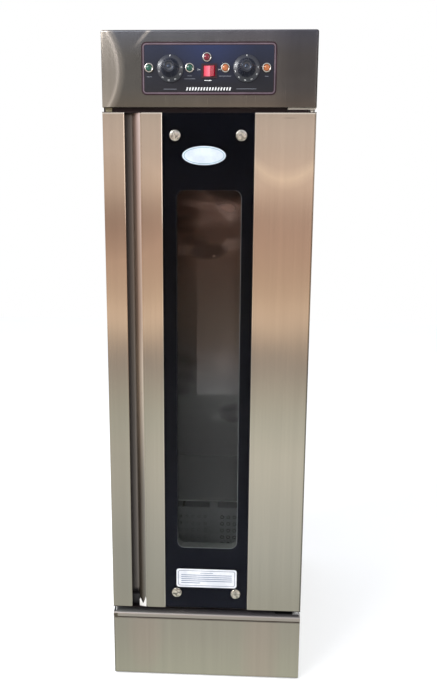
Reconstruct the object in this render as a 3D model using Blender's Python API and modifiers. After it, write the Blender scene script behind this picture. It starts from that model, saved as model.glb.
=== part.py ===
"""A single-door proofing cabinet: an insulated steel body with a tray rack, a heated and humidified chamber,
a hinged door with a tall window and a recessed pull, a header with its controls, and a closed base.

Metres, +Z up, +X to the right of someone who faces the door, -Y towards that person. The origin is on the
floor, under the middle of the whole object. Depths into the cabinet are counted from the front face that the
door, the header and the base share."""

import math

import bmesh
import bpy
from mathutils import Matrix, Vector

MM = 0.001
DEGREE = math.pi / 180

# Overall size
WIDTH = 500 * MM
DEPTH = 700 * MM
HEIGHT = 1650 * MM
FLOOR_CLEARANCE = 4 * MM

# Sheet, fits and overruns
SHEET = 1.2 * MM
LINER = 1.0 * MM
GAP = 0.3 * MM
OVERRUN = 5 * MM
BEND = 3 * MM

# Heights of the fronts
KICK_TOP = 166.5 * MM
NOSING_HEIGHT = 15 * MM
HEADER_HEIGHT = 169.4 * MM
DOOR_BOTTOM_GAP = 17.2 * MM
DOOR_TOP_GAP = 10.9 * MM

# Base
BASE_FLOOR_HEIGHT = 25 * MM
SEAM_SETBACK = 1 * MM
NOSING_RETURN = 30 * MM
NOSING_CORNER = 5 * MM
FOOT_RADIUS = 20 * MM
FOOT_TREAD_RADIUS = 17 * MM
FOOT_INSET = 55 * MM

# Header
HEADER_CORNER = 5 * MM
GLAND_X = -150 * MM
GLAND_ABOVE_HEADER_BOTTOM = 64 * MM
GLAND_REACH = 20 * MM
GLAND_NUT_RADIUS = 13 * MM
GLAND_BARREL_RADIUS = 8 * MM
GLAND_BORE_RADIUS = 4.5 * MM
GLAND_BARREL_LENGTH = 16 * MM
GLAND_LOCKNUT = 5 * MM

# Control panel
OVERLAY_SIZE = (308 * MM, 112.6 * MM)
CONTROLS_ABOVE_HEADER_BOTTOM = 84.4 * MM
OVERLAY_THICKNESS = 0.8 * MM
OVERLAY_CORNER = 9 * MM
THERMOSTAT_X = -88.8 * MM
HUMIDISTAT_X = 87.0 * MM
KNOB_LENGTH = 32 * MM
KNOB_SKIRT_RADIUS = 30.5 * MM
KNOB_SKIRT_HEIGHT = 3 * MM
KNOB_FLARE_HEIGHT = 13 * MM
KNOB_GRIP_RADIUS = 14.5 * MM
KNOB_CAP_RADIUS = 13 * MM
KNOB_CLEARANCE = 0.6 * MM
SHAFT_RADIUS = 3 * MM
SHAFT_LENGTH = 20 * MM
SHAFT_CLEARANCE = 0.3 * MM
REGULATOR_SIZE = (42 * MM, 32 * MM, 42 * MM)
LAMP_BEZEL_RADIUS = 10.9 * MM
LAMP_LENS_RADIUS = 7 * MM
LAMP_BEZEL_HEIGHT = 3.5 * MM
LAMP_LENS_RISE = 2.5 * MM
LAMP_RECESS = 2.2 * MM
LAMP_GROOVE = 0.6 * MM
LAMP_BARREL_RADIUS = 6 * MM
LAMP_BARREL_LENGTH = 24 * MM
RED_LAMP_RISE = 24.5 * MM
LAMP_RISE = 1.5 * MM
LAMP_COLUMNS = {
    "green_lamp_outer": -138.0 * MM,
    "green_lamp_inner": -44.1 * MM,
    "red_lamp": -4.4 * MM,
    "orange_lamp_inner": 38.1 * MM,
    "orange_lamp_outer": 132.7 * MM,
}
SWITCH_X = 1.2 * MM
SWITCH_DROP = 5.5 * MM
ROCKER_HALF_FACE = 11.5 * MM
ROCKER_HEIGHT = 23 * MM
ROCKER_TILT = 10 * DEGREE
ROCKER_FACE_RISE = 5 * MM
ROCKER_BACK = 6 * MM
ROCKER_PIVOT_DEPTH = 3 * MM
ROCKER_SWEEP_CLEARANCE = 1 * MM
SWITCH_WALL = 1.2 * MM
SWITCH_FLANGE = 3 * MM
SWITCH_FLANGE_THICKNESS = 1.5 * MM

# Door
DOOR_THICKNESS = 45 * MM
PULL_WIDTH = 52 * MM
RECESS_WIDTH = 39 * MM
LEFT_STILE_WIDTH = 50 * MM
GLASS_WIDTH = 216.5 * MM
RECESS_DEPTH = 30 * MM
PULL_LIP_THICKNESS = 12 * MM
FINGER_GAP = 25.5 * MM
SCOOP_WIDTH = 22.5 * MM
SCOOP_RIM = 2 * MM
END_CAP_HEIGHT = 28 * MM
END_CAP_SETBACK = 2.5 * MM
STILE_RETURN = 16 * MM
GLASS_SETBACK = 0.5 * MM
GLASS_THICKNESS = 5 * MM
WINDOW_FRAME_FLANGE = 2 * MM
WINDOW_FROM_GLASS_LEFT = 31 * MM
WINDOW_FROM_GLASS_RIGHT = 28 * MM
WINDOW_ABOVE_DOOR_BOTTOM = 172 * MM
WINDOW_BELOW_DOOR_TOP = 176.4 * MM
WINDOW_CORNER = 19 * MM
SPACER_BAND = 20 * MM
LINER_WINDOW_MARGIN = 6 * MM
INNER_GLASS_THICKNESS = 4 * MM
CAP_RADIUS = 13 * MM
CAP_HEIGHT = 6 * MM
CAP_RIM_HEIGHT = 3.5 * MM
CAP_CROWN_RADIUS = 9.5 * MM
CAP_SHANK_RADIUS = 4 * MM
CAP_SHANK_LENGTH = 36 * MM
CAP_CLEARANCE = 0.5 * MM
CAP_FROM_GLASS_SIDE = 30.4 * MM
CAP_FROM_DOOR_TOP = 52.7 * MM
CAP_FROM_DOOR_BOTTOM = 48 * MM
GASKET_DEPTH = 8 * MM
GASKET_BAND = 14 * MM
GASKET_INSET = 10 * MM
FOAM_END_CLEARANCE = 8 * MM

# Hinges
PIVOT_FROM_SIDE = 11.5 * MM
PIVOT_DEPTH = 22 * MM
HINGE_PLATE_THICKNESS = 4 * MM
HINGE_LEG_THICKNESS = 3 * MM
HINGE_LEG_HEIGHT = 20 * MM
HINGE_PLATE_LEFT = 184 * MM
HINGE_PLATE_SETBACK = 12 * MM
HINGE_PLATE_INSET = 2.5 * MM
PIN_RADIUS = 4 * MM
PIN_CLEARANCE = 0.3 * MM
PIN_ENGAGEMENT = 6 * MM
COLLAR_RADIUS = 7 * MM

# Chamber
SIDE_INSULATION = 30 * MM
FLOOR_INSULATION = 60 * MM
CEILING_INSULATION = 38 * MM
REAR_INSULATION = 35 * MM
MOUTH_LIP = 0.5 * MM

# Tray rack
RAIL_PITCH = 78 * MM
FIRST_RAIL_ABOVE_COVER = 38 * MM
LEAST_ABOVE_TOP_RAIL = 60 * MM
RAIL_THICKNESS = 1.5 * MM
RAIL_SHELF = 17 * MM
RAIL_LEG = 18 * MM
RAIL_FRONT_DEPTH = 80 * MM
RAIL_BEFORE_WALL = 20 * MM
RAIL_SEAT = 0.5 * MM
POST_THICKNESS = 12 * MM
POST_WIDTH = 25 * MM
FRONT_POST_DEPTH = 100 * MM
REAR_POST_BEFORE_WALL = 75 * MM

# Heater compartment
COVER_DEPTH = 270 * MM
COVER_HEIGHT = 164 * MM
COVER_PATTERN_X = 4 * MM
COVER_HOLE_RADIUS = 3.8 * MM
COVER_HOLE_PITCH_X = 18.6 * MM
COVER_HOLE_PITCH_Z = 21.5 * MM
COVER_FIRST_COLUMN = 25.7 * MM
COVER_FIRST_ROW_DROP = 52 * MM
COVER_ROWS = 5
COVER_COLUMNS = 8
COVER_SLOT_DROP = 4 * MM
COVER_SLOT_HEIGHT = 18 * MM
COVER_TAB = 24 * MM
COVER_SLOT_LENGTH = 150 * MM
PAN_LENGTH = 300 * MM
PAN_WIDTH = 110 * MM
PAN_HEIGHT = 60 * MM
PAN_BEHIND_COVER = 30 * MM
PAN_CORNER = 8 * MM
ELEMENT_RADIUS = 4 * MM
ELEMENT_BEND = 18 * MM
WATER_ELEMENT_HALF_SPAN = 100 * MM
WATER_ELEMENT_ABOVE_PAN_FLOOR = 14 * MM
WATER_ELEMENT_ABOVE_RIM = 26 * MM
AIR_ELEMENT_HALF_SPAN = 150 * MM
AIR_ELEMENT_BEFORE_WALL = 162 * MM
AIR_ELEMENT_ABOVE_FLOOR = 30 * MM
AIR_ELEMENT_PITCH = 40 * MM
FAN_ABOVE_FLOOR = 81 * MM
FAN_RADIUS = 55 * MM
FAN_HUB_RADIUS = 12 * MM
FAN_HUB_LENGTH = 14 * MM
FAN_BLADE_COUNT = 5
FAN_BLADE_THICKNESS = 1.2 * MM
FAN_BLADE_ROOT = 10 * MM
FAN_BLADE_TIP = 34 * MM
FAN_BLADE_PITCH = 28 * DEGREE
FAN_RUNNING_GAP = 1 * MM
MOTOR_RADIUS = 30 * MM
MOTOR_LENGTH = 45 * MM
MOTOR_FLANGE_RADIUS = 38 * MM
MOTOR_FLANGE = 3 * MM
MOTOR_SHAFT_LENGTH = 12 * MM

# Smoothness of round pieces
FINE_STEPS = 24
ROUND_STEPS = 16
SMALL_STEPS = 12
HOLE_STEPS = 6
ARC_STEPS = 4

# Places that follow from the sizes
HEADER_BOTTOM = HEIGHT - HEADER_HEIGHT
FRONT_REACH = GAP + OVERLAY_THICKNESS + KNOB_CLEARANCE + KNOB_LENGTH
FRONT_Y = FRONT_REACH - (FRONT_REACH + DEPTH + GLAND_REACH) / 2
SIDE = WIDTH / 2
INSIDE = SIDE - SHEET - GAP
REAR_INNER_DEPTH = DEPTH - SHEET - GAP
DECK_BOTTOM = KICK_TOP + GAP
DECK_TOP = DECK_BOTTOM + SHEET
NOSING_BOTTOM = DECK_TOP + GAP
NOSING_TOP = NOSING_BOTTOM + NOSING_HEIGHT
DOOR_BOTTOM = NOSING_TOP + DOOR_BOTTOM_GAP
DOOR_TOP = HEADER_BOTTOM - DOOR_TOP_GAP
FRAME_DEPTH = DOOR_THICKNESS + GASKET_DEPTH
FRAME_BACK = FRAME_DEPTH + SHEET
BODY_TOP = HEADER_BOTTOM - GAP
CHAMBER_WALL = INSIDE - SIDE_INSULATION
CHAMBER_HALF_WIDTH = CHAMBER_WALL - LINER
CHAMBER_FLOOR = DECK_TOP + GAP + FLOOR_INSULATION + GAP + LINER
CHAMBER_CEILING = BODY_TOP - CEILING_INSULATION - GAP - LINER
BACK_WALL_DEPTH = REAR_INNER_DEPTH - REAR_INSULATION - GAP - LINER
PULL_RIGHT = -SIDE + PULL_WIDTH
RECESS_RIGHT = PULL_RIGHT + RECESS_WIDTH
GLASS_LEFT = RECESS_RIGHT + LEFT_STILE_WIDTH
GLASS_RIGHT = GLASS_LEFT + GLASS_WIDTH
PULL_BACK_X = PULL_RIGHT - FINGER_GAP
SKIN_BOTTOM = DOOR_BOTTOM + SHEET + GAP
SKIN_TOP = DOOR_TOP - SHEET - GAP
LINER_DEPTH = DOOR_THICKNESS - SHEET
CORE_BACK = LINER_DEPTH - GAP
CORE_FRONT = SHEET + GAP
WINDOW_LEFT = GLASS_LEFT + WINDOW_FROM_GLASS_LEFT
WINDOW_RIGHT = GLASS_RIGHT - WINDOW_FROM_GLASS_RIGHT
WINDOW_BOTTOM = DOOR_BOTTOM + WINDOW_ABOVE_DOOR_BOTTOM
WINDOW_TOP = DOOR_TOP - WINDOW_BELOW_DOOR_TOP
WINDOW_FRAME_FRONT = GLASS_SETBACK + GLASS_THICKNESS + GAP
WINDOW_FLANGE_BACK = WINDOW_FRAME_FRONT + WINDOW_FRAME_FLANGE
CAP_COLUMNS = {"left": GLASS_LEFT + CAP_FROM_GLASS_SIDE, "right": GLASS_RIGHT - CAP_FROM_GLASS_SIDE}
CAP_ROWS = {"top": DOOR_TOP - CAP_FROM_DOOR_TOP, "bottom": DOOR_BOTTOM + CAP_FROM_DOOR_BOTTOM}
INNER_GLASS_FRONT = CORE_BACK - INNER_GLASS_THICKNESS
SPACER_BACK = INNER_GLASS_FRONT - GAP
PIVOT_X = SIDE - PIVOT_FROM_SIDE
OVERLAY_FRONT = -(GAP + OVERLAY_THICKNESS)
ROCKER_END_RISE = ROCKER_FACE_RISE + ROCKER_HALF_FACE * math.tan(ROCKER_TILT)
ROCKER_RADIUS = math.hypot(ROCKER_HALF_FACE, ROCKER_END_RISE)
SWITCH_HALF_WIDTH = ROCKER_RADIUS + GAP + SWITCH_WALL
SWITCH_HALF_HEIGHT = ROCKER_HEIGHT / 2 + GAP + SWITCH_WALL
POST_INNER = CHAMBER_HALF_WIDTH - GAP - POST_THICKNESS
RAIL_OUTER = POST_INNER + RAIL_SEAT
COVER_TOP = CHAMBER_FLOOR + COVER_HEIGHT
FIRST_RAIL_Z = COVER_TOP + FIRST_RAIL_ABOVE_COVER
RAIL_COUNT = 1 + math.floor((CHAMBER_CEILING - LEAST_ABOVE_TOP_RAIL - FIRST_RAIL_Z) / RAIL_PITCH)
PAN_FRONT_DEPTH = COVER_DEPTH + PAN_BEHIND_COVER
PAN_FLOOR = CHAMBER_FLOOR + GAP + LINER
CONTROL_Z = HEADER_BOTTOM + CONTROLS_ABOVE_HEADER_BOTTOM
SWITCH_Z = CONTROL_Z - SWITCH_DROP
LAMPS = {name: (x, CONTROL_Z + LAMP_RISE) for name, x in LAMP_COLUMNS.items()}
LAMPS["red_lamp"] = (LAMP_COLUMNS["red_lamp"], CONTROL_Z + RED_LAMP_RISE)
KNOBS = ((THERMOSTAT_X, CONTROL_Z), (HUMIDISTAT_X, CONTROL_Z))

# Stands a flat outline or a turned piece up, with its own +Z facing the person
FACE_FRONT = Matrix.Rotation(90 * DEGREE, 4, "X")


def at(depth):
    """The Y of a plane that lies this deep behind the front face."""
    return FRONT_Y + depth


def clear_scene():
    for old in list(bpy.data.objects):
        bpy.data.objects.remove(old, do_unlink=True)


def new_collection(name):
    collection = bpy.data.collections.new(name)
    bpy.context.scene.collection.children.link(collection)
    return collection


def finish(name, colour, roughness, metallic, transmission=0.0):
    material = bpy.data.materials.new(name)
    material.use_nodes = True
    shader = material.node_tree.nodes["Principled BSDF"]
    shader.inputs["Base Color"].default_value = (*colour, 1)
    shader.inputs["Roughness"].default_value = roughness
    shader.inputs["Metallic"].default_value = metallic
    shader.inputs["Transmission Weight"].default_value = transmission
    return material


def add_object(name, data, collection, material=None, place=None, parent=None):
    piece = bpy.data.objects.new(name, data)
    collection.objects.link(piece)
    piece.matrix_world = place if place is not None else Matrix()
    if material:
        data.materials.append(material)
    if parent:
        bpy.context.view_layer.update()
        piece.parent = parent
        piece.matrix_parent_inverse = parent.matrix_world.inverted()
    return piece


def pivot(name, collection, place):
    empty = bpy.data.objects.new(name, None)
    collection.objects.link(empty)
    empty.location = place
    return empty


def middle(low, high):
    return (Vector(low) + Vector(high)) / 2


def box_solids(bm, ranges, centre):
    """Adds one box for each (x range, y range, z range), about a common centre."""
    for spans in ranges:
        low = Vector([min(span) for span in spans])
        high = Vector([max(span) for span in spans])
        size = high - low
        where = Matrix.Translation(middle(low, high) - centre) @ Matrix.Diagonal((*size, 1))
        bmesh.ops.create_cube(bm, size=1, matrix=where)


def boxes(name, ranges, collection, material=None, parent=None):
    """One object that holds a box for each (x range, y range, z range)."""
    centre = middle([min(span) for span in ranges[0]], [max(span) for span in ranges[0]])
    mesh = bpy.data.meshes.new(name)
    bm = bmesh.new()
    box_solids(bm, ranges, centre)
    bm.to_mesh(mesh)
    bm.free()
    return add_object(name, mesh, collection, material, Matrix.Translation(centre), parent)


def smooth(mesh):
    mesh.shade_smooth()
    mesh.set_sharp_from_angle(angle=35 * DEGREE)


def evaluated_mesh(piece):
    bpy.context.view_layer.update()
    graph = bpy.context.evaluated_depsgraph_get()
    return bpy.data.meshes.new_from_object(piece.evaluated_get(graph))


def welded(mesh):
    bm = bmesh.new()
    bm.from_mesh(mesh)
    bmesh.ops.remove_doubles(bm, verts=bm.verts, dist=GAP / 100)
    bmesh.ops.recalc_face_normals(bm, faces=bm.faces)
    bm.to_mesh(mesh)
    bm.free()
    return mesh


def outline(name, loops, thickness, place, collection, material=None, parent=None):
    """A flat outline, with a hole for each further loop, extruded evenly to both sides of its plane."""
    curve = bpy.data.curves.new(name + "_outline", "CURVE")
    curve.dimensions = "2D"
    curve.fill_mode = "BOTH"
    curve.extrude = thickness / 2
    for loop in loops:
        spline = curve.splines.new("POLY")
        spline.points.add(len(loop) - 1)
        for point, (across, up) in zip(spline.points, loop):
            point.co = (across, up, 0, 1)
        spline.use_cyclic_u = True
    guide = add_object(name + "_outline", curve, collection)
    mesh = welded(evaluated_mesh(guide))
    mesh.name = name
    bpy.data.objects.remove(guide, do_unlink=True)
    smooth(mesh)
    return add_object(name, mesh, collection, material, place, parent)


def rectangle(left, bottom, right, top, corner=0.0):
    """The points of a rectangle, with its corners as arcs when they have a radius."""
    if corner == 0:
        return [(left, bottom), (right, bottom), (right, top), (left, top)]
    points = []
    centres = ((right - corner, top - corner), (left + corner, top - corner))
    centres += ((left + corner, bottom + corner), (right - corner, bottom + corner))
    for quarter, (across, up) in enumerate(centres):
        for step in range(ARC_STEPS + 1):
            angle = (quarter + step / ARC_STEPS) * 90 * DEGREE
            points.append((across + corner * math.cos(angle), up + corner * math.sin(angle)))
    return points


def filleted(path, radius, steps=ARC_STEPS):
    """An open path with an arc at each of its inner corners."""
    path = [Vector(point) for point in path]
    points = [path[0]]
    for before, corner, after in zip(path, path[1:], path[2:]):
        arrive = (corner - before).normalized()
        leave = (after - corner).normalized()
        turn = arrive.angle(leave)
        start = corner - arrive * radius * math.tan(turn / 2)
        inward = (leave - arrive * arrive.dot(leave)).normalized()
        for step in range(steps + 1):
            angle = turn * step / steps
            points.append(start + arrive * radius * math.sin(angle) + inward * radius * (1 - math.cos(angle)))
    points.append(path[-1])
    return points


def folded_sheet(name, path, span, direction, thickness, collection, material=None, parent=None):
    """A bent sheet: the path is its outer face in section, and the span runs along Z or along X.

    Seen along the span, the outer face lies on the right of the path, and the thickness goes to its left."""
    mesh = bpy.data.meshes.new(name)
    bm = bmesh.new()
    start, end = span
    if direction == "Z":
        row = [bm.verts.new((x, y, start)) for x, y in path]
        run = Vector((0, 0, end - start))
    else:
        row = [bm.verts.new((start, y, z)) for y, z in path]
        run = Vector((end - start, 0, 0))
    edges = [bm.edges.new(pair) for pair in zip(row, row[1:])]
    grown = bmesh.ops.extrude_edge_only(bm, edges=edges)["geom"]
    bmesh.ops.translate(bm, verts=[v for v in grown if isinstance(v, bmesh.types.BMVert)], vec=run)
    bm.normal_update()
    outward = (row[1].co - row[0].co).cross(run)
    if row[0].link_faces[0].normal.dot(outward) < 0:
        bmesh.ops.reverse_faces(bm, faces=bm.faces)
    bm.to_mesh(mesh)
    bm.free()
    piece = add_object(name, mesh, collection, material, None, parent)
    shell = piece.modifiers.new("Sheet", "SOLIDIFY")
    shell.thickness = thickness
    shell.offset = -1
    shell.use_even_offset = True
    smooth(mesh)
    return piece


def turned(name, profile, steps, place, collection, material=None, parent=None):
    """A turned piece about its own Z. Its profile of (radius, height) runs from the top down the side."""
    guide_mesh = bpy.data.meshes.new(name)
    closed = profile[0][0] > 0
    count = len(profile)
    edges = [(i, i + 1) for i in range(count - 1)] + ([(count - 1, 0)] if closed else [])
    guide_mesh.from_pydata([(radius, 0, height) for radius, height in profile], edges, [])
    guide = add_object(name + "_profile", guide_mesh, collection)
    screw = guide.modifiers.new("Turn", "SCREW")
    screw.steps = steps
    screw.render_steps = steps
    screw.use_merge_vertices = True
    screw.merge_threshold = GAP / 100
    mesh = welded(evaluated_mesh(guide))
    mesh.name = name
    bpy.data.objects.remove(guide, do_unlink=True)
    smooth(mesh)
    return add_object(name, mesh, collection, material, place, parent)


def tube(name, path, radius, collection, material):
    """A bent tube along a path, with closed ends."""
    curve = bpy.data.curves.new(name, "CURVE")
    curve.dimensions = "3D"
    curve.bevel_depth = radius
    curve.bevel_resolution = 2
    curve.use_fill_caps = True
    spline = curve.splines.new("POLY")
    spline.points.add(len(path) - 1)
    for point, place in zip(spline.points, path):
        point.co = (*place, 1)
    return add_object(name, curve, collection, material)


def cylinders(name, places, radius, length, steps, collection):
    """One object that holds a cylinder about each place's own Z."""
    mesh = bpy.data.meshes.new(name)
    bm = bmesh.new()
    for place in places:
        bmesh.ops.create_cone(
            bm, cap_ends=True, segments=steps, radius1=radius, radius2=radius, depth=length, matrix=place
        )
    bm.to_mesh(mesh)
    bm.free()
    return add_object(name, mesh, collection)


def boolean(piece, tool, operation):
    step = piece.modifiers.new(tool.name, "BOOLEAN")
    step.operation = operation
    step.solver = "EXACT"
    step.object = tool
    tool.hide_render = True
    tool.display_type = "WIRE"


def cut(piece, tool):
    boolean(piece, tool, "DIFFERENCE")


def join(piece, tool):
    boolean(piece, tool, "UNION")


def front_place(x, z, depth=0.0):
    """A place on the front, where a piece's own +Z comes out towards the person."""
    return Matrix.Translation((x, at(depth), z)) @ FACE_FRONT


def mirrored(span):
    """The same span on both sides of the middle, left one first."""
    return (-span[1], -span[0]), span


def base_pieces(parts, steel, dark_steel, rubber):
    back = at(REAR_INNER_DEPTH)
    corner_foot = SIDE - FOOT_INSET
    rear_foot = back - FOOT_INSET
    foot_profile = [(0, BASE_FLOOR_HEIGHT), (FOOT_RADIUS, BASE_FLOOR_HEIGHT), (FOOT_TREAD_RADIUS, 0), (0, 0)]
    for end, y in (("front", at(FOOT_INSET)), ("rear", rear_foot)):
        for side, x in (("left", -corner_foot), ("right", corner_foot)):
            place = Matrix.Translation((x, y, 0))
            turned(f"{end}_{side}_foot", foot_profile, ROUND_STEPS, place, parts, rubber)

    floor_bottom = BASE_FLOOR_HEIGHT + GAP
    floor_spans = ((-INSIDE, INSIDE), (at(BEND), back), (floor_bottom, floor_bottom + SHEET))
    boxes("base_floor", [floor_spans], parts, dark_steel)

    section = [(-SIDE, back), (-SIDE, at(0)), (SIDE, at(0)), (SIDE, back)]
    path = filleted(section, BEND)
    folded_sheet("base_shell", path, (FLOOR_CLEARANCE, KICK_TOP), "Z", SHEET, parts, steel)

    deck_spans = ((-INSIDE, INSIDE), (at(SEAM_SETBACK), back), (DECK_BOTTOM, DECK_TOP))
    boxes("base_deck", [deck_spans], parts, dark_steel)

    section = [
        (at(FRAME_DEPTH - GAP), NOSING_TOP),
        (at(0), NOSING_TOP),
        (at(0), NOSING_BOTTOM),
        (at(NOSING_RETURN), NOSING_BOTTOM),
    ]
    path = filleted(section, NOSING_CORNER)
    folded_sheet("base_nosing", path, (-SIDE, SIDE), "X", SHEET, parts, steel)


def body_pieces(parts, tools, steel, liner_steel, foam):
    back = at(REAR_INNER_DEPTH)
    frame_back = at(FRAME_BACK) + GAP
    left_side, right_side = mirrored((SIDE - SHEET, SIDE))
    for name, span in (("left_side_panel", left_side), ("right_side_panel", right_side)):
        boxes(name, [(span, (frame_back, back), (NOSING_BOTTOM, BODY_TOP))], parts, steel)

    rear_spans = ((-SIDE, SIDE), (at(DEPTH - SHEET), at(DEPTH)), (FLOOR_CLEARANCE, HEIGHT))
    panel = boxes("rear_panel", [rear_spans], parts, steel)

    mouth_half = CHAMBER_HALF_WIDTH - MOUTH_LIP
    frame_loops = [
        rectangle(-SIDE, NOSING_BOTTOM, SIDE, BODY_TOP),
        rectangle(-mouth_half, CHAMBER_FLOOR + MOUTH_LIP, mouth_half, CHAMBER_CEILING - MOUTH_LIP),
    ]
    frame_place = front_place(0, 0, FRAME_DEPTH + SHEET / 2)
    outline("front_frame", frame_loops, SHEET, frame_place, parts, liner_steel)

    wall_end = at(BACK_WALL_DEPTH + LINER)
    wall_heights = (CHAMBER_FLOOR - LINER, CHAMBER_CEILING + LINER)
    left_wall, right_wall = mirrored((CHAMBER_HALF_WIDTH, CHAMBER_WALL))
    for name, span in (("chamber_left_wall", left_wall), ("chamber_right_wall", right_wall)):
        boxes(name, [(span, (frame_back, wall_end), wall_heights)], parts, liner_steel)

    between = (-CHAMBER_HALF_WIDTH + GAP, CHAMBER_HALF_WIDTH - GAP)
    along = (frame_back, at(BACK_WALL_DEPTH) - GAP)
    boxes("chamber_floor", [(between, along, (CHAMBER_FLOOR - LINER, CHAMBER_FLOOR))], parts, liner_steel)
    ceiling_heights = (CHAMBER_CEILING, CHAMBER_CEILING + LINER)
    boxes("chamber_ceiling", [(between, along, ceiling_heights)], parts, liner_steel)
    back_wall = (at(BACK_WALL_DEPTH), wall_end)
    boxes("chamber_back_wall", [(between, back_wall, wall_heights)], parts, liner_steel)

    foam_spans = ((-INSIDE, INSIDE), (frame_back, back), (NOSING_BOTTOM, BODY_TOP))
    jacket = boxes("body_insulation", [foam_spans], parts, foam)
    hollow_spans = (
        (-CHAMBER_WALL - GAP, CHAMBER_WALL + GAP),
        (frame_back - OVERRUN, wall_end + GAP),
        (CHAMBER_FLOOR - LINER - GAP, CHAMBER_CEILING + LINER + GAP),
    )
    cut(jacket, boxes("chamber_hollow", [hollow_spans], tools))
    return panel


def rack_pieces(parts, tools, liner_steel):
    """A welded rack on each side: two posts that carry a ladder of angle rails."""
    top = CHAMBER_CEILING - GAP
    front_depths = (at(FRONT_POST_DEPTH), at(FRONT_POST_DEPTH + POST_WIDTH))
    rear_post_depth = BACK_WALL_DEPTH - REAR_POST_BEFORE_WALL
    rear_depths = (at(rear_post_depth), at(rear_post_depth + POST_WIDTH))
    rail_end_depth = BACK_WALL_DEPTH - RAIL_BEFORE_WALL
    length = rail_end_depth - RAIL_FRONT_DEPTH
    rail_y = at(RAIL_FRONT_DEPTH + length / 2)
    for name, sign in (("left_tray_rack", -1), ("right_tray_rack", 1)):
        post_x = (sign * POST_INNER, sign * (POST_INNER + POST_THICKNESS))
        posts = [
            (post_x, front_depths, (CHAMBER_FLOOR + GAP, top)),
            (post_x, rear_depths, (COVER_TOP + GAP, top)),
        ]
        rack = boxes(name, posts, parts, liner_steel)
        outer = sign * RAIL_OUTER
        inner = sign * (RAIL_OUTER - RAIL_SHELF)
        leg = sign * (RAIL_OUTER - RAIL_THICKNESS)
        section = [
            (inner, 0),
            (outer, 0),
            (outer, -RAIL_LEG),
            (leg, -RAIL_LEG),
            (leg, -RAIL_THICKNESS),
            (inner, -RAIL_THICKNESS),
        ]
        for step in range(RAIL_COUNT):
            place = Matrix.Translation((0, rail_y, FIRST_RAIL_Z + step * RAIL_PITCH)) @ FACE_FRONT
            join(rack, outline(f"{name}_rail_{step + 1}", [section], length, place, tools))


def cover_holes(tools):
    """The holes and the two air slots of the heater cover, left and right of its plain middle."""
    centre_depth = COVER_DEPTH + LINER / 2
    reach = LINER + OVERRUN
    places = []
    for side in (-1, 1):
        for column in range(COVER_COLUMNS):
            x = COVER_PATTERN_X + side * (COVER_FIRST_COLUMN + column * COVER_HOLE_PITCH_X)
            for row in range(COVER_ROWS):
                z = COVER_TOP - COVER_FIRST_ROW_DROP - row * COVER_HOLE_PITCH_Z
                places.append(front_place(x, z, centre_depth))
    holes = cylinders("cover_holes", places, COVER_HOLE_RADIUS, reach, HOLE_STEPS, tools)
    slots = []
    for side in (-1, 1):
        near = COVER_PATTERN_X + side * COVER_TAB / 2
        far = near + side * COVER_SLOT_LENGTH
        depths = (at(centre_depth) - reach / 2, at(centre_depth) + reach / 2)
        slot_top = COVER_TOP - COVER_SLOT_DROP
        slots.append(((near, far), depths, (slot_top - COVER_SLOT_HEIGHT, slot_top)))
    return holes, boxes("cover_slots", slots, tools)


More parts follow.
